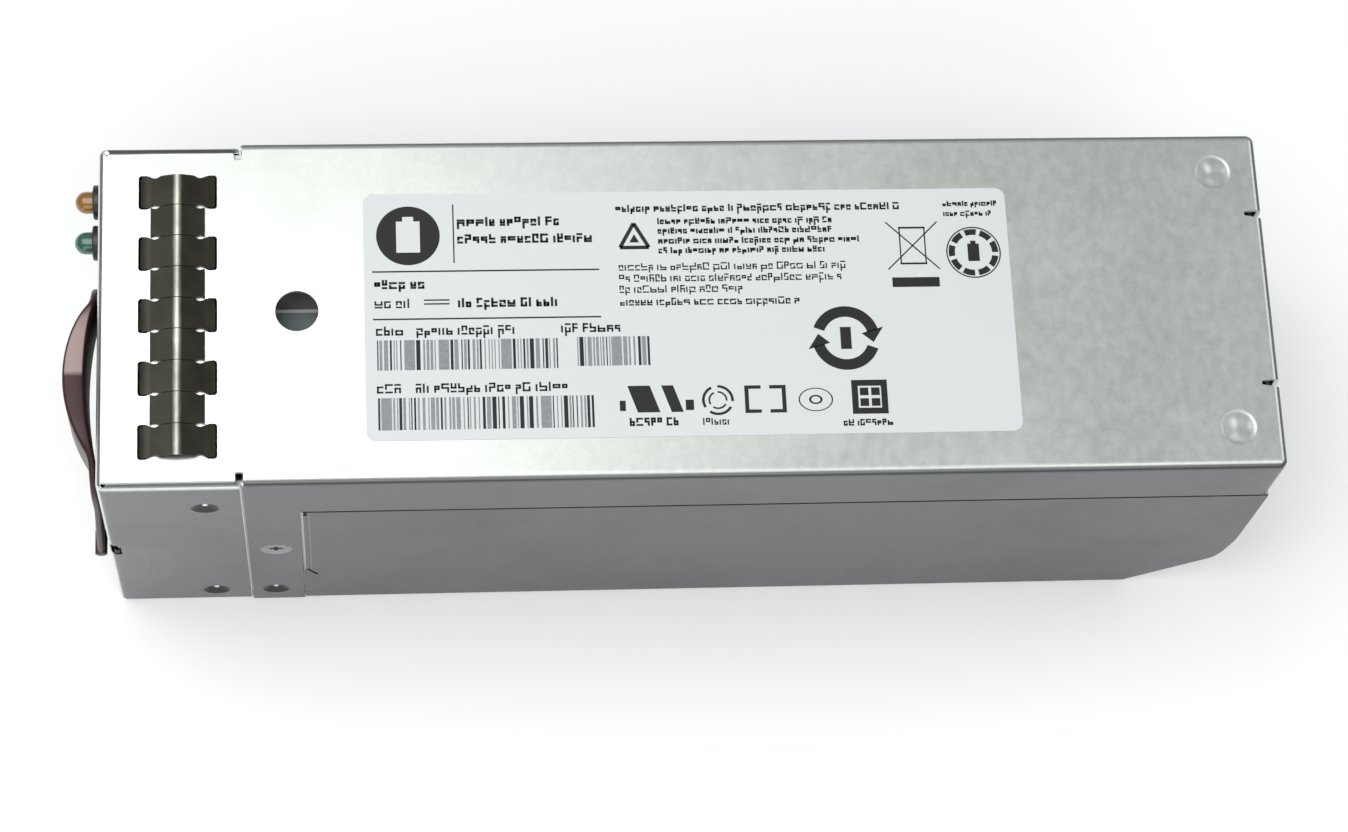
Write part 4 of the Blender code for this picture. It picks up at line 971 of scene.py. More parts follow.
class Print:
    """Flat ink shapes in the label's own millimetres: right along the case, down across it."""

    def __init__(self, low, high):
        self.shape = bmesh.new()
        self.low = low
        self.high = high

    def area(self, outline):
        """A filled outline."""
        spots = [(LABEL_LOW.x + down * MM, LABEL_LOW.y + right * MM) for right, down in outline]
        under = [self.shape.verts.new((x, y, self.low)) for x, y in spots]
        over = [self.shape.verts.new((x, y, self.high)) for x, y in spots]
        self.shape.faces.new(under)
        self.shape.faces.new(over)
        for i, j in zip(range(len(spots)), [*range(1, len(spots)), 0]):
            self.shape.faces.new((under[i], under[j], over[j], over[i]))

    def bar(self, right, down, width, height):
        """A filled rectangle from its upper left corner."""
        last, foot = right + width, down + height
        self.area([(right, down), (last, down), (last, foot), (right, foot)])

    def line(self, start, end, width):
        """A straight stroke."""
        start, end = Vector(start), Vector(end)
        across = (end - start).normalized().orthogonal() * width / 2
        self.area([start + across, end + across, end - across, start - across])

    def ring(self, centre, inner, outer, start=0, end=360, steps=48, squash=1.0):
        """A ring or part of one, in pieces that each close, flattened by squash."""
        for i in range(steps):
            first = start + (end - start) * i / steps
            second = start + (end - start) * (i + 1) / steps
            piece = arc(centre, outer, first, second, 1) + arc(centre, inner, second, first, 1)
            self.area([(right, centre[1] + (down - centre[1]) * squash) for right, down in piece])

    def stripes(self, pale, right, down, width, height, seed):
        """A block of upright stripes of uneven width that encodes nothing, some of them pale."""
        draw = random.Random(seed)
        at, last = right, right + width
        while at < last - 0.6:
            stroke = draw.choice((0.26, 0.26, 0.42, 0.60, 0.90))
            sheet = pale if draw.random() < 0.62 else self
            sheet.bar(at, down, stroke, height)
            at += stroke + draw.choice((0.24, 0.30, 0.38, 0.62))
            if draw.random() < 0.06 and at < last - 3.5:
                pale.bar(at, down, 2.3, height)
                at += 2.6
        self.bar(at, down, last - at if last - at > 0.2 else 0.3, height)

    def glyph(self, left, top, base, wide, stroke, draw):
        """One meaningless letter shape of upright and level strokes."""
        tall = base - top
        right = left + wide - stroke
        if wide < 2 * stroke:
            self.bar(left, top, stroke, tall)
            return
        drop = 0 if draw.random() < 0.7 else tall * 0.4
        self.bar(left, top + drop, stroke, tall * draw.choice((0.6, 1.0)))
        levels = draw.sample((top, base - stroke, top + (tall - stroke) / 2), 2)
        for level in levels:
            self.bar(left, level, wide, stroke)
        if draw.random() < 0.75:
            self.bar(right, top + draw.choice((0, tall * 0.45)), stroke, tall * 0.55)

    def words(self, right, down, width, height, seed, weight):
        """A line of unreadable word shapes that stands on a base line."""
        draw = random.Random(seed)
        at, last = right, right + width
        while at < last - height * 0.3:
            for _ in range(draw.randint(2, 8)):
                wide = height * draw.choice((0.24, 0.56, 0.60, 0.66, 0.80))
                if at + wide > last + height * 0.2:
                    break
                top = down - height * (1.0 if draw.random() < 0.3 else 0.76)
                self.glyph(at, top, down, wide, height * weight, draw)
                at += wide + height * 0.15
            at += height * 0.36


LABEL_WORDS = (
    (20.6, 7.9, 22.8, 2.2, 11, 0.24), (20.6, 12.0, 31.8, 2.2, 12, 0.24), (2.2, 22.6, 11.2, 2.2, 13, 0.24),
    (2.2, 27.1, 8.4, 2.2, 14, 0.18), (20.4, 27.1, 23.2, 2.2, 15, 0.24), (2.4, 33.5, 5.6, 2.15, 16, 0.20),
    (11.2, 33.5, 22.2, 2.15, 17, 0.20), (42.8, 33.3, 13.0, 2.15, 18, 0.20),
    (2.4, 46.9, 5.6, 2.15, 21, 0.20), (10.8, 46.9, 33.2, 2.15, 22, 0.20),
    (55.8, 4.9, 64.0, 1.75, 24, 0.24), (65.0, 7.9, 39.5, 1.50, 25, 0.26), (65.0, 10.2, 40.0, 1.50, 26, 0.26),
    (65.0, 12.6, 45.0, 1.50, 27, 0.26), (65.0, 14.9, 38.0, 1.50, 28, 0.26),
    (56.0, 18.9, 50.5, 1.75, 30, 0.18), (56.0, 21.6, 50.0, 1.75, 31, 0.18),
    (56.0, 24.2, 27.5, 1.75, 32, 0.18), (56.0, 27.2, 40.5, 1.75, 34, 0.20),
    (129.2, 4.3, 12.0, 1.3, 35, 0.26), (129.2, 6.7, 11.3, 1.3, 36, 0.26), (57.0, 55.3, 10.5, 1.9, 41, 0.24),
    (73.0, 55.3, 7.0, 1.6, 42, 0.20), (103.8, 56.0, 12.0, 1.5, 43, 0.24),
)
LABEL_STRIPES = ((2.6, 34.6, 39.0, 7.0, 19), (46.2, 34.4, 15.9, 6.8, 20), (2.6, 48.0, 46.8, 7.4, 23))
LABEL_LINES = (
    ((19.8, 2.6), (19.8, 16.6), 0.30), ((1.8, 18.5), (51.7, 18.5), 0.36), ((1.8, 29.7), (51.7, 29.7), 0.36),
    ((13.0, 25.3), (18.6, 25.3), 0.34), ((13.0, 26.2), (18.6, 26.2), 0.34),
    ((59.7, 7.6), (56.5, 13.4), 0.85), ((56.5, 13.4), (62.9, 13.4), 0.85), ((62.9, 13.4), (59.7, 7.6), 0.85),
    ((116.0, 8.0), (127.6, 19.4), 0.30), ((127.6, 8.0), (116.0, 19.4), 0.30),
    ((118.8, 9.4), (124.8, 9.4), 0.45), ((118.8, 18.0), (124.8, 18.0), 0.45),
    ((119.0, 9.4), (119.0, 18.0), 0.30), ((124.6, 9.4), (124.6, 18.0), 0.30),
)
LABEL_BARS = (
    (116.7, 21.3, 10.6, 2.3), (134.1, 13.4, 2.6, 4.2), (134.8, 12.7, 1.2, 0.7), (104.3, 32.9, 2.4, 5.2),
    (55.0, 49.4, 1.3, 2.4), (69.4, 49.4, 1.8, 2.4), (82.4, 46.3, 0.9, 6.4), (90.6, 46.3, 0.9, 6.4),
    (83.3, 46.3, 2.7, 0.8), (83.3, 51.9, 2.7, 0.8), (87.9, 46.3, 2.7, 0.8), (87.9, 51.9, 2.7, 0.8),
    (106.0, 45.4, 7.9, 1.4), (106.0, 51.9, 7.9, 1.4), (106.0, 46.8, 1.4, 5.1), (112.5, 46.8, 1.4, 5.1),
    (107.8, 47.2, 1.9, 1.8), (110.3, 47.2, 1.9, 1.8), (107.8, 49.7, 1.9, 1.8), (110.3, 49.7, 1.9, 1.8),
)
LABEL_PATCHES = (
    ((59.7, 10.2), (58.6, 12.2), (60.8, 12.2)),
    ((56.8, 46.0), (61.7, 46.0), (63.8, 52.2), (58.9, 52.2)),
    ((64.2, 46.0), (66.8, 46.0), (68.9, 52.2), (66.3, 52.2)),
)
BADGE_SPOT, SEAL_SPOT, CYCLE_SPOT = (9.8, 10.0), (135.4, 15.5), (105.5, 35.5)
BROKEN_RING_SPOT, OVAL_SPOT = (76.5, 49.6), (98.0, 49.8)


def print_marks(sheet, pale):
    """The label's generic layout: lines, bars, unreadable word shapes and stripes."""
    for row in LABEL_LINES:
        sheet.line(*row)
    for row in LABEL_BARS:
        sheet.bar(*row)
    for outline in LABEL_PATCHES:
        sheet.area(outline)
    for row in LABEL_WORDS:
        sheet.words(*row)
    for row in LABEL_STRIPES:
        sheet.stripes(pale, *row)


def print_symbols(sheet):
    """Round symbols with no meaning of their own."""
    sheet.ring(BADGE_SPOT, 0.0001, 7.0)
    sheet.ring(SEAL_SPOT, 5.85, 6.15)
    for start in range(10, 360, 40):
        sheet.ring(SEAL_SPOT, 4.2, 5.6, start, start + 30, 6)
    for start in (200, 20):
        sheet.ring(CYCLE_SPOT, 5.0, 7.5, start, start + 145, 24)
        tip = arc(CYCLE_SPOT, 6.2, start + 170, start + 170, 1)[0]
        wings = [arc(CYCLE_SPOT, reach, start + 143, start + 143, 1)[0] for reach in (8.8, 3.7)]
        sheet.area([tip, *wings])
    for turn in (30, 150, 270):
        for inner, outer in ((2.9, 3.5), (1.7, 2.1)):
            sheet.ring(BROKEN_RING_SPOT, inner, outer, turn, turn + 95, 10)
    for inner, outer in ((3.5, 3.8), (1.0, 1.5)):
        sheet.ring(OVAL_SPOT, inner, outer, squash=0.72)


class BATTERY_OT_label(bpy.types.Operator):
    """Build the label film and its generic print"""
    bl_idname = "battery.label"
    bl_label = "Label"

    def execute(self, context):
        fit = context.scene.battery_label
        base = TOP + 0.02 * MM
        film_top = base + fit.thickness
        first = film_top + 0.001 * MM, film_top + 0.012 * MM
        second = film_top + 0.013 * MM, film_top + 0.024 * MM
        outline = rounded_rectangle(LABEL_LOW.xy, LABEL_HIGH.xy, fit.corner)
        film = prism(outline, "Z", base, film_top)
        dress(film, "label_film_sheet", printed_film("label_film", fit.film), ["rating_label"])
        sheet, pale, badge = Print(*first), Print(*first), Print(*second)
        print_marks(sheet, pale)
        print_symbols(sheet)
        badge.bar(7.2, 6.6, 5.2, 7.4)
        badge.bar(8.6, 5.5, 2.4, 1.1)
        for name, layer, finish in (
            ("label_print", sheet, ink("label_ink", fit.ink)),
            ("label_stripes", pale, ink("label_pale_ink", fit.pale_ink)),
            ("label_badge", badge, printed_film("badge_film", fit.film)),
        ):
            dress(place(name, layer.shape), name, finish, [], weighted=False)
        return {"FINISHED"}


# ---------------------------------------------------------------- handle

HALF_CHORD, REST_GAP, BLEND = 20.5 * MM, 0.3 * MM, 0.35 * MM
LEAN_HEIGHT = 30 * MM


def grip_faces(fit, x, centre):
    """How far the handle's inner and outer faces stand off the front face, at an x."""
    proud = FRONT - HANDLE_LOW.y
    off = abs(x - centre)

    def face(sag, least):
        radius = (HALF_CHORD ** 2 + sag ** 2) / (2 * sag)
        rise = math.sqrt(max(0.0, radius ** 2 - off ** 2)) - (radius - sag)
        return 0.5 * (rise + least + math.sqrt((rise - least) ** 2 + BLEND ** 2))

    outer = min(proud, face(proud - 0.05 * MM, fit.arm))
    inner = max(REST_GAP, face(proud - fit.grip, REST_GAP) - 0.12 * MM)
    return inner, outer


def handle_sections(fit, centre, half, pivot_z):
    """Pairs of outline points, inner and outer, from the left arm's end round to the right's."""
    inner_half = half - fit.arm_width
    inner_radius = 3.0 * MM
    under = HANDLE_HIGH.z - fit.band_height
    sections = []
    arm_steps, corner_steps, band_steps = 10, 12, 44
    outer_low, inner_low = HANDLE_HIGH.z - fit.corner, under - inner_radius
    for i in range(arm_steps):
        t = i / arm_steps
        sections.append((
            (centre - inner_half, pivot_z + (inner_low - pivot_z) * t),
            (centre - half, pivot_z + (outer_low - pivot_z) * t),
        ))
    outer_corner = arc((centre - half + fit.corner, outer_low), fit.corner, 180, 90, corner_steps)
    inner_corner = arc((centre - inner_half + inner_radius, inner_low), inner_radius, 180, 90, corner_steps)
    sections += list(zip(inner_corner, outer_corner))
    inner_reach, outer_reach = inner_half - inner_radius, half - fit.corner
    for i in range(1, band_steps):
        t = 2 * i / band_steps - 1
        sections.append(((centre + inner_reach * t, under), (centre + outer_reach * t, HANDLE_HIGH.z)))
    first_side = sections[:arm_steps + corner_steps + 1]
    return sections + [tuple((2 * centre - x, z) for x, z in pair) for pair in reversed(first_side)]


def lean(fit, z):
    """How far the arms stand out beyond the grip's plane, towards their pivots."""
    whole = FRONT - HINGE["pos_m"][1] - (fit.arm + REST_GAP) / 2
    return whole * max(0.0, 1.0 - (z - HINGE["pos_m"][2]) / LEAN_HEIGHT)


def section_ring(fit, pair, centre):
    """Points of one cross-section with round edges, in world coordinates."""
    (inner_x, inner_z), (outer_x, outer_z) = pair
    span = math.hypot(outer_x - inner_x, outer_z - inner_z)
    middle_in, middle_out = grip_faces(fit, (inner_x + outer_x) / 2, centre)
    thick = middle_out - middle_in
    edge = min(0.75 * MM, thick * 0.45)
    flat = rounded_rectangle((0, 0), (span, thick), edge, 4)
    points = []
    for across, depth in flat:
        share_in = across / span
        x = outer_x + (inner_x - outer_x) * share_in
        z = outer_z + (inner_z - outer_z) * share_in
        near, far = grip_faces(fit, x, centre)
        proud = near + (far - near) * depth / thick + lean(fit, z)
        points.append(Vector((x, FRONT - proud, z)))
    return points


# Colour of the painted highlight on the grip's top edge.
PAINTED_SHEEN = (0.33, 0.245, 0.235)


def grip_plastic(name, tone, middle):
    """Satin moulding with painted shade behind the grip and a pale painted highlight on one half of its top edge.
    """
    made = Recipe(name, Specular_IOR_Level=0.3)
    marks = made.noise(90.0, 4.0)
    made.relief(made.noise(2600.0, 3.0), 0.01 * MM, 0.2)
    tint = made.mix(marks, darker(tone, 0.85), darker(tone, 1.2))
    # Painted highlight: pale patch on one half of the top edge.
    top_edge = made.ramp(made.facing(2), (0.88, 0.0), (0.98, 1.0))
    leftward = (middle - made.along(0)) / (30 * MM) + 0.5 + (marks - 0.5) * 0.02
    half = made.ramp(leftward, (0.49, 0.0), (0.53, 1.0))
    tint = made.mix(top_edge * half, tint, PAINTED_SHEEN)
    # Painted shade on the faces behind the grip.
    shade_behind_grip = made.ramp(made.facing(1), (0.2, 0.0), (0.5, 1.0))
    tint = made.mix(shade_behind_grip, tint, darker(tone, 0.3))
    return made.paint(Base_Color=tint, Roughness=0.30 + marks * 0.10 + shade_behind_grip * 0.3)


class BATTERY_OT_handle(bpy.types.Operator):
    """Build the bowed folding handle with its eyes, lugs and pins"""
    bl_idname = "battery.handle"
    bl_label = "Pull handle"

    def execute(self, context):
        fit = context.scene.battery_handle
        pivot = Vector(HINGE["pos_m"])
        centre = (HANDLE_LOW.x + HANDLE_HIGH.x) / 2
        half = (HANDLE_HIGH.x - HANDLE_LOW.x) / 2
        shape = bmesh.new()
        rings = []
        for pair in handle_sections(fit, centre, half, pivot.z):
            rings.append([shape.verts.new(point) for point in section_ring(fit, pair, centre)])
        count = len(rings[0])
        for first, second in zip(rings, rings[1:]):
            for i in range(count):
                j = (i + 1) % count
                shape.faces.new((first[i], first[j], second[j], second[i]))
        shape.faces.new(rings[0])
        shape.faces.new(rings[-1])
        plastic = grip_plastic("burgundy_moulding", fit.plastic, centre)
        dress(place("bail", shape), "grip_bail", plastic, ["pull_handle"], "handle",
              sharp=45, weighted=False)
        eye_radius = pivot.z - HANDLE_LOW.z
        for side, name in ((-1, "left"), (1, "right")):
            ends = sorted((side * half, side * (half - fit.arm_width)))
            mid = sum(ends) / 2
            reach = (ends[1] - ends[0]) / 2
            edge = 0.35 * MM
            profile = [(0, -reach), *arc((eye_radius - edge, -reach + edge), edge, -90, 0, 4)]
            profile += [*arc((eye_radius - edge, reach - edge), edge, 0, 90, 4), (0, reach)]
            eye = turned(profile, "X", (centre + mid, pivot.y, pivot.z), 32)
            dress(eye, f"grip_eye_{name}", plastic, [], "handle", weighted=False)
        self.make_lugs(pivot, eye_radius)
        return {"FINISHED"}

    @staticmethod
    def make_lugs(pivot, eye_radius):
        """The two lugs on the front face and the pins through the eyes."""
        zinc = plated("zinc_lug", (0.42, 0.42, 0.42), 0.36)
        steel = plated("zinc_pin", (0.55, 0.55, 0.53), 0.3)
        face = FRONT - 1.6 * MM
        for name in ("left", "right"):
            low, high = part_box(f"handle_bracket_{name}")
            foot = block((low.x, face, low.z), (high.x, FRONT - 0.02 * MM, pivot.z))
            soften(foot, 0.3 * MM, both(on(1, face), on(2, low.z)), 3)
            soften(foot, 0.25 * MM, both(on(0, low.x, high.x), on(1, face)), 3)
            join(foot, rod(eye_radius, low.x, high.x, "X", (0, pivot.y, pivot.z)))
            dress(foot, f"hinge_lug_{name}", zinc, [f"handle_bracket_{name}"])
            pin_low, pin_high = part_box(f"handle_pin_{name}")
            radius = (pin_high.z - pin_low.z) / 2
            profile = [(0, pin_low.x), (radius - 0.1 * MM, pin_low.x), (radius, pin_low.x + 0.1 * MM)]
            profile += [(radius, pin_high.x - 0.1 * MM), (radius - 0.1 * MM, pin_high.x), (0, pin_high.x)]
            pin = turned(profile, "X", (0, pivot.y, pivot.z), 24)
            dress(pin, f"hinge_pin_{name}", steel, [f"handle_pin_{name}"], weighted=False)


# ---------------------------------------------------------------- lamps

class BATTERY_OT_lamps(bpy.types.Operator):
    """Build the two status lamps and their collars"""
    bl_idname = "battery.lamps"
    bl_label = "Status lamps"

    def execute(self, context):
        fit = context.scene.battery_lamps
        black = moulded("black_collar", (0.012, 0.012, 0.013), 0.35, 0.4)
        inner = plated("lamp_cup", (0.8, 0.8, 0.78), 0.3)
        for name, tone in (("amber", fit.amber), ("green", fit.green)):
            low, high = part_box(f"led_{name}")
            centre = (low + high) / 2
            spot = (centre.x, FRONT, centre.z)
            proud, radius = FRONT - low.y, fit.lens_radius
            back = high.y - FRONT
            dome = [(0, back), (radius, back), (radius, -proud + radius)]
            dome += [(r, -proud + radius - h) for r, h in arc((0, 0), radius, 7.5, 82.5, 10)]
            dome.append((0, -proud))
            lens = turned(dome, "Y", spot, 48)
            dress(lens, f"lens_{name}", lens_resin(f"resin_{name}", tone), [f"led_{name}"],
                  sharp=50, weighted=False)
            cup = [(0, -1.3 * MM), (0.9 * MM, -1.3 * MM), (1.3 * MM, -2.2 * MM), (1.5 * MM, -2.2 * MM),
                   (1.5 * MM, -0.6 * MM), (0, -0.6 * MM)]
            dress(turned(cup, "Y", spot, 32), f"lamp_cup_{name}", inner, [], weighted=False)
            bore, outer = radius + 0.15 * MM, fit.collar_radius
            lip = 0.45 * MM
            ring = [(bore, 3.5 * MM), (2.9 * MM, 3.5 * MM), (2.9 * MM, -0.02 * MM), (outer, -0.02 * MM)]
            ring += [(r, h) for r, h in arc((outer - lip, -1.7 * MM + lip), lip, 0, -90, 5)]
            ring += [(bore + 0.5 * MM, -1.7 * MM), (bore, -1.35 * MM)]
            dress(turned(ring, "Y", spot, 48), f"collar_{name}", black,
                  [f"led_collar_{name}"], weighted=False)
        return {"FINISHED"}


# ---------------------------------------------------------------- screws

def cross_recess(centre, side, reach):
    """Cutters for a cross-shaped driver recess."""
    arm, half = 1.45 * MM, 0.50 * MM
    inside = centre.x - side * reach
    return [
        block((centre.x, centre.y - a, centre.z - b), (inside, centre.y + a, centre.z + b))
        for a, b in ((arm, half), (half, arm))
    ]


def shaded_dish(name, tone, middle, drop):
    """Plated screw dish with a painted shadow along its upper edge, where the rim would shade it."""
    made = Recipe(name, Metallic=1.0)
    lines = made.noise(1600.0, 3.0)
    flat = made.where((0.0, 1.0, 1.0))
    low = (0.0, middle.y, middle.z - 2.6 * MM)
    off = made.add("ShaderNodeVectorMath", {"operation": "DISTANCE"}, {0: flat, 1: low}, 1)
    # Painted shadow: darker towards the dish's upper edge.
    shade = made.ramp((off - 4.5 * MM) / (0.8 * MM), (0.0, 0.0), (0.7, 1.0))
    made.relief(lines, 0.01 * MM, 0.4)
    tint = made.mix(shade, tone, darker(tone, drop))
    return made.paint(Base_Color=tint, Roughness=0.28 + lines * 0.12)


PAN_FACE = ((0, 0.20), (1.6, 0.24), (2.2, 0.42), (2.35, 0.60), (2.6, 0.55))
FLUSH_FACE = ((0, 1.00), (0.9, 0.98), (1.7, 0.80))
SHANK = ((1.3, 1.3), (1.3, 4.4), (0, 4.4))
BEAD = ((0, 0.42), (0.35, 0.46), (0.62, 0.62), (0.72, 0.95), (0, 0.95))


class BATTERY_OT_screws(bpy.types.Operator):
    """Build the eight side screws"""
    bl_idname = "battery.screws"
    bl_label = "Side screws"

    def execute(self, context):
        bright = plated("screw_bead", (0.80, 0.80, 0.76), 0.20)
        names = ("panel_upper", "panel_lower", "tab_upper", "tab_lower")
        for name, (distance, height, recess) in zip(names, PANEL_SCREWS + TAB_SCREWS):
            pan = name == "tab_upper"
            # The flush screws' near-black tone is painted shade for their recessed dishes; the pan screw keeps a
            # plated tone.
            tone = (0.30, 0.305, 0.30) if pan else (0.060, 0.060, 0.060)
            spot = Vector((0, behind(distance), height))
            finish = shaded_dish(f"screw_dish_{name}", tone, spot, 0.10 if pan else 0.8)
            for side, side_name in ((-1, "left"), (1, "right")):
                node = f"screw_{name}_{side_name}"
                centre = Vector((side * SIDE, behind(distance), height))
                rim = recess - 0.05 * MM
                profile = [(radius * MM, -depth * MM) for radius, depth in (PAN_FACE if pan else FLUSH_FACE)]
                profile += [(rim, -0.04 * MM), (rim, -0.95 * MM)]
                profile += [(radius * MM, -depth * MM) for radius, depth in SHANK]
                body = turned([(radius, side * depth) for radius, depth in profile], "X", centre, 48)
                if pan:
                    cut(body, *cross_recess(centre + Vector((side * MM, 0, 0)), side, 2.1 * MM))
                else:
                    dome = [(radius * MM, -side * depth * MM) for radius, depth in BEAD]
                    bead = turned(dome, "X", centre + Vector((0, 0, 0.4 * MM)), 24)
                    dress(bead, f"bead_{node}", bright, [], weighted=False)
                dress(body, f"side_{node}", finish, [node])
        return {"FINISHED"}


# ---------------------------------------------------------------- rear connector

class BATTERY_OT_connector(bpy.types.Operator):
    """Build the rear connector with its contact slots and blades"""
    bl_idname = "battery.connector"
    bl_label = "Rear connector"

    def execute(self, context):
        low, high = CONNECTOR_LOW, CONNECTOR_HIGH
        bottom = 26 * MM
        body = block((low.x, low.y, bottom), (high.x, high.y, high.z))
        soften(body, 0.7 * MM, both(on(1, high.y), either(on(0, low.x, high.x), on(2, bottom, high.z))), 3)
        leg = block((low.x, low.y, low.z), (high.x, low.y + 6 * MM, bottom + MM))
        join(body, leg)
        slots = 6
        pitch = (high.x - low.x) / (slots + 1)
        blades = bmesh.new()
        for i in range(slots):
            x = low.x + pitch * (i + 1)
            slot = block(
                (x - 1.2 * MM, high.y - 8 * MM, bottom + 4 * MM), (x + 1.2 * MM, high.y + MM, high.z - 4 * MM)
            )
            soften(slot, 0.4 * MM, on(1, high.y + MM), 2)
            cut(body, slot)
            for side in (-1, 1):
                middle = Vector((x + side * 0.85 * MM, high.y - 4.6 * MM, (bottom + high.z) / 2))
                fit = Matrix.Translation(middle) @ Matrix.Diagonal((0.35 * MM, 6.4 * MM, 9.0 * MM, 1.0))
                bmesh.ops.create_cube(blades, size=1.0, matrix=fit)
        black = moulded("connector_moulding", (0.014, 0.014, 0.015), 0.42, 0.5)
        dress(body, "connector_housing", black, ["rear_connector"])
        gold = plated("contact_plating", (0.80, 0.62, 0.28), 0.25)
        dress(place("blades", blades), "connector_contacts", gold, [], weighted=False)
        return {"FINISHED"}


# ---------------------------------------------------------------- inner parts

def guide_paint(name, tone):
    """Painted sheet of the cable guide, paler along its upper corner."""
    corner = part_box("cable_guide")[0].x
    made = Recipe(name)
    marks = made.noise(300.0, 3.0)
    made.relief(marks, 0.01 * MM, 0.4)
    pale_edge = made.ramp((made.along(0) - corner) / (3 * MM), (0.22, 1.0), (0.30, 0.0))
    paint = made.mix(marks * 0.4, tone, darker(tone, 1.3))
    return made.paint(Base_Color=made.mix(pale_edge, paint, (0.42, 0.44, 0.43)), Roughness=0.5 + marks * 0.1)


def inner_finishes():
    """Materials of the carried-over parts, by the record's material slot."""
    return {
        "inner_sheet": guide_paint("guide_paint", (0.10, 0.13, 0.13)),
        "zinc_screws": plated("standoff_zinc", (0.6, 0.6, 0.58), 0.35),
        "black_plastic": moulded("holder_moulding", (0.02, 0.02, 0.02), 0.5, 0.6),
        "board_laminate": circuit_board("board_laminate", (0.02, 0.13, 0.055), (0.05, 0.26, 0.10)),
        "cell_wrap": moulded("cell_sleeve", (0.03, 0.14, 0.30), 0.35, 0.3, 0.3),
        "nickel_plate": plated("nickel_strip", (0.62, 0.60, 0.56), 0.32, (1.0, 0.1, 1.0)),
        "copper_plate": plated("copper_strip", (0.72, 0.38, 0.24), 0.34, (1.0, 0.1, 1.0)),
        "insulation_paper": fibrous("fish_paper", (0.42, 0.35, 0.22), 0.85, 900.0),
        "foam": fibrous("closed_foam", (0.05, 0.05, 0.05), 0.95, 1400.0),
        "capacitor_sleeve": moulded("capacitor_sleeve", (0.02, 0.03, 0.07), 0.35, 0.2, 0.3),
        "anodised_aluminium": plated("black_anodising", (0.06, 0.06, 0.065), 0.5, (1.0, 0.1, 1.0)),
        "enamelled_copper": wound("enamelled_winding", (0.55, 0.22, 0.08), 260.0),
        "fuse_ceramic": moulded("fuse_ceramic", (0.66, 0.63, 0.57), 0.4, 0.3),
        "tinned_brass": plated("terminal_tin", (0.66, 0.62, 0.52), 0.35),
        "natural_nylon": moulded("plug_nylon", (0.70, 0.67, 0.60), 0.45, 0.4),
        "red_sleeve": fibrous("red_sleeve", (0.42, 0.02, 0.02), 0.6, 700.0),
        "black_sleeve": fibrous("black_sleeve", (0.02, 0.02, 0.02), 0.6, 700.0),
        "grey_sleeve": fibrous("grey_sleeve", (0.28, 0.28, 0.28), 0.6, 700.0),
    }


class BATTERY_OT_inner(bpy.types.Operator):
    """Finish the parts inside the case, which keep their own shapes"""
    bl_idname = "battery.inner"
    bl_label = "Inner parts"

    def execute(self, context):
        finishes = inner_finishes()
        low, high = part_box("cable_guide")
        shelf = block(
            (low.x - 9 * MM, low.y, high.z - 8 * MM), (low.x - 0.05 * MM, high.y, high.z - 7.4 * MM)
        )
        dress(shelf, "guide_shelf", moulded("shelf_paint", (0.40, 0.41, 0.39), 0.6), [])
        slots = {entry["node"]: entry["material_slot"] for entry in frame["record"]["subparts"]}
        for name, node in frame["nodes"].items():
            if node.hide_render:
                continue
            material = finishes[slots[name]]
            node.data.materials.clear()
            node.data.materials.append(material)
        return {"FINISHED"}


# ---------------------------------------------------------------- stage

def area_light(name, place_at, target, size, power):
    """A rectangular soft light aimed at a point."""
    data = bpy.data.lights.new(name, "AREA")
    data.shape = "RECTANGLE"
    data.size, data.size_y = size
    data.energy = power
    lamp = bpy.data.objects.new(name, data)
    lamp.location = place_at
    lamp.rotation_mode = "QUATERNION"
    lamp.rotation_quaternion = (Vector(target) - Vector(place_at)).to_track_quat("-Z", "Y")
    bpy.context.scene.collection.objects.link(lamp)


FLOOR_REACH = 6.0
SOFTBOXES = (
    ("side_softbox", (1.35, -0.15, 0.52), (0.0, -0.15, 0.40), (1.3, 0.95), 6.0),
    ("fill_softbox", (1.1, 0.9, 1.6), (0.4, 0.2, 0.0), (1.4, 1.4), 9.0),
    ("back_softbox", (-0.45, 1.5, 1.0), (0.0, 0.0, 0.05), (0.9, 0.6), 3.0),
)


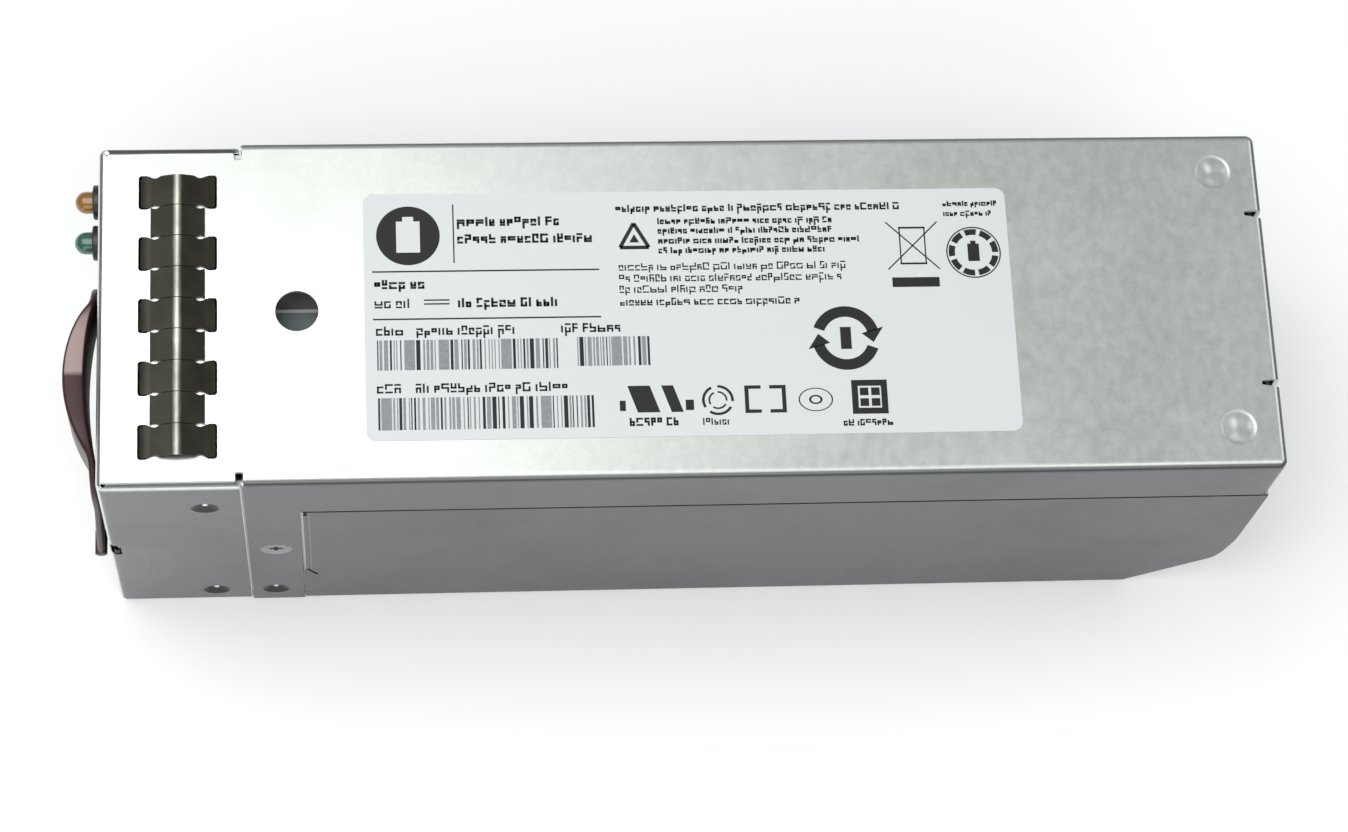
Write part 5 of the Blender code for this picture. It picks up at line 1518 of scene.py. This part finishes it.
class BATTERY_OT_stage(bpy.types.Operator):
    """Build the floor, the soft lights and the camera"""
    bl_idname = "battery.stage"
    bl_label = "Stage"

    def execute(self, context):
        fit = context.scene.battery_stage
        scene = context.scene
        shape = bmesh.new()
        bmesh.ops.create_grid(shape, x_segments=2, y_segments=2, size=FLOOR_REACH)
        floor = place("studio_floor", shape)
        floor.location.z = -0.05 * MM
        made = Recipe("floor_paper", Roughness=0.9)
        made.paint(Base_Color=made.mix(made.noise(3.0), darker(fit.floor, 0.995), fit.floor))
        floor.data.materials.append(made.material)
        world = bpy.data.worlds.new("studio")
        world.use_nodes = True
        nodes, links = world.node_tree.nodes, world.node_tree.links
        spot = nodes.new("ShaderNodeTexCoord")
        parts = nodes.new("ShaderNodeSeparateXYZ")
        fade = nodes.new("ShaderNodeValToRGB")
        fade.color_ramp.elements[0].position = 0.05
        fade.color_ramp.elements[0].color = (0.34, 0.35, 0.36, 1.0)
        fade.color_ramp.elements[1].position = 0.55
        fade.color_ramp.elements[1].color = (0.97, 0.99, 1.0, 1.0)
        links.new(spot.outputs["Generated"], parts.inputs[0])
        links.new(parts.outputs["Z"], fade.inputs[0])
        links.new(fade.outputs[0], nodes["Background"].inputs["Color"])
        nodes["Background"].inputs["Strength"].default_value = fit.sky
        scene.world = world
        area_light("key_softbox", (0.02, -0.46, 1.15), (0.02, -0.46, 0.0), (1.1, 0.90), fit.key)
        for row in SOFTBOXES:
            area_light(*row)
        data = bpy.data.cameras.new("camera")
        data.sensor_width = 36.0
        data.lens = fit.lens
        data.clip_start, data.clip_end = 0.01, 50.0
        camera = bpy.data.objects.new("camera", data)
        aim = (Vector(fit.target) - Vector(fit.camera)).to_track_quat("-Z", "Y")
        turn = Matrix.Rotation(fit.roll, 4, "Z")
        camera.matrix_world = Matrix.Translation(fit.camera) @ aim.to_matrix().to_4x4() @ turn
        scene.collection.objects.link(camera)
        scene.camera = camera
        scene.view_settings.view_transform = "Standard"
        return {"FINISHED"}


# ---------------------------------------------------------------- panel and registration

OPERATORS = (
    BATTERY_OT_cover, BATTERY_OT_tray, BATTERY_OT_panel, BATTERY_OT_fingers, BATTERY_OT_label,
    BATTERY_OT_handle, BATTERY_OT_lamps, BATTERY_OT_screws, BATTERY_OT_connector, BATTERY_OT_inner,
    BATTERY_OT_stage,
)


class BATTERY_PT_panel(bpy.types.Panel):
    """Settings and buttons in the sidebar"""
    bl_idname = "BATTERY_PT_panel"
    bl_label = "Battery module"
    bl_space_type = "VIEW_3D"
    bl_region_type = "UI"
    bl_category = "Battery"

    def draw(self, context):
        for attribute, group in GROUPS:
            box = self.layout.box()
            settings = getattr(context.scene, attribute)
            for name in group.__annotations__:
                box.prop(settings, name)
        for operator in OPERATORS:
            self.layout.operator(operator.bl_idname)


def register():
    """Add the settings, operators and panel."""
    for attribute, group in GROUPS:
        bpy.utils.register_class(group)
        setattr(bpy.types.Scene, attribute, bpy.props.PointerProperty(type=group))
    for item in (*OPERATORS, BATTERY_PT_panel):
        bpy.utils.register_class(item)


def unregister():
    """Take the settings, operators and panel away."""
    for item in (BATTERY_PT_panel, *reversed(OPERATORS)):
        bpy.utils.unregister_class(item)
    for attribute, group in reversed(GROUPS):
        delattr(bpy.types.Scene, attribute)
        bpy.utils.unregister_class(group)


def main():
    """Build every piece in order."""
    register()
    for operator in OPERATORS:
        getattr(bpy.ops.battery, operator.bl_idname.split(".")[1])()


if __name__ == "__main__":
    main()
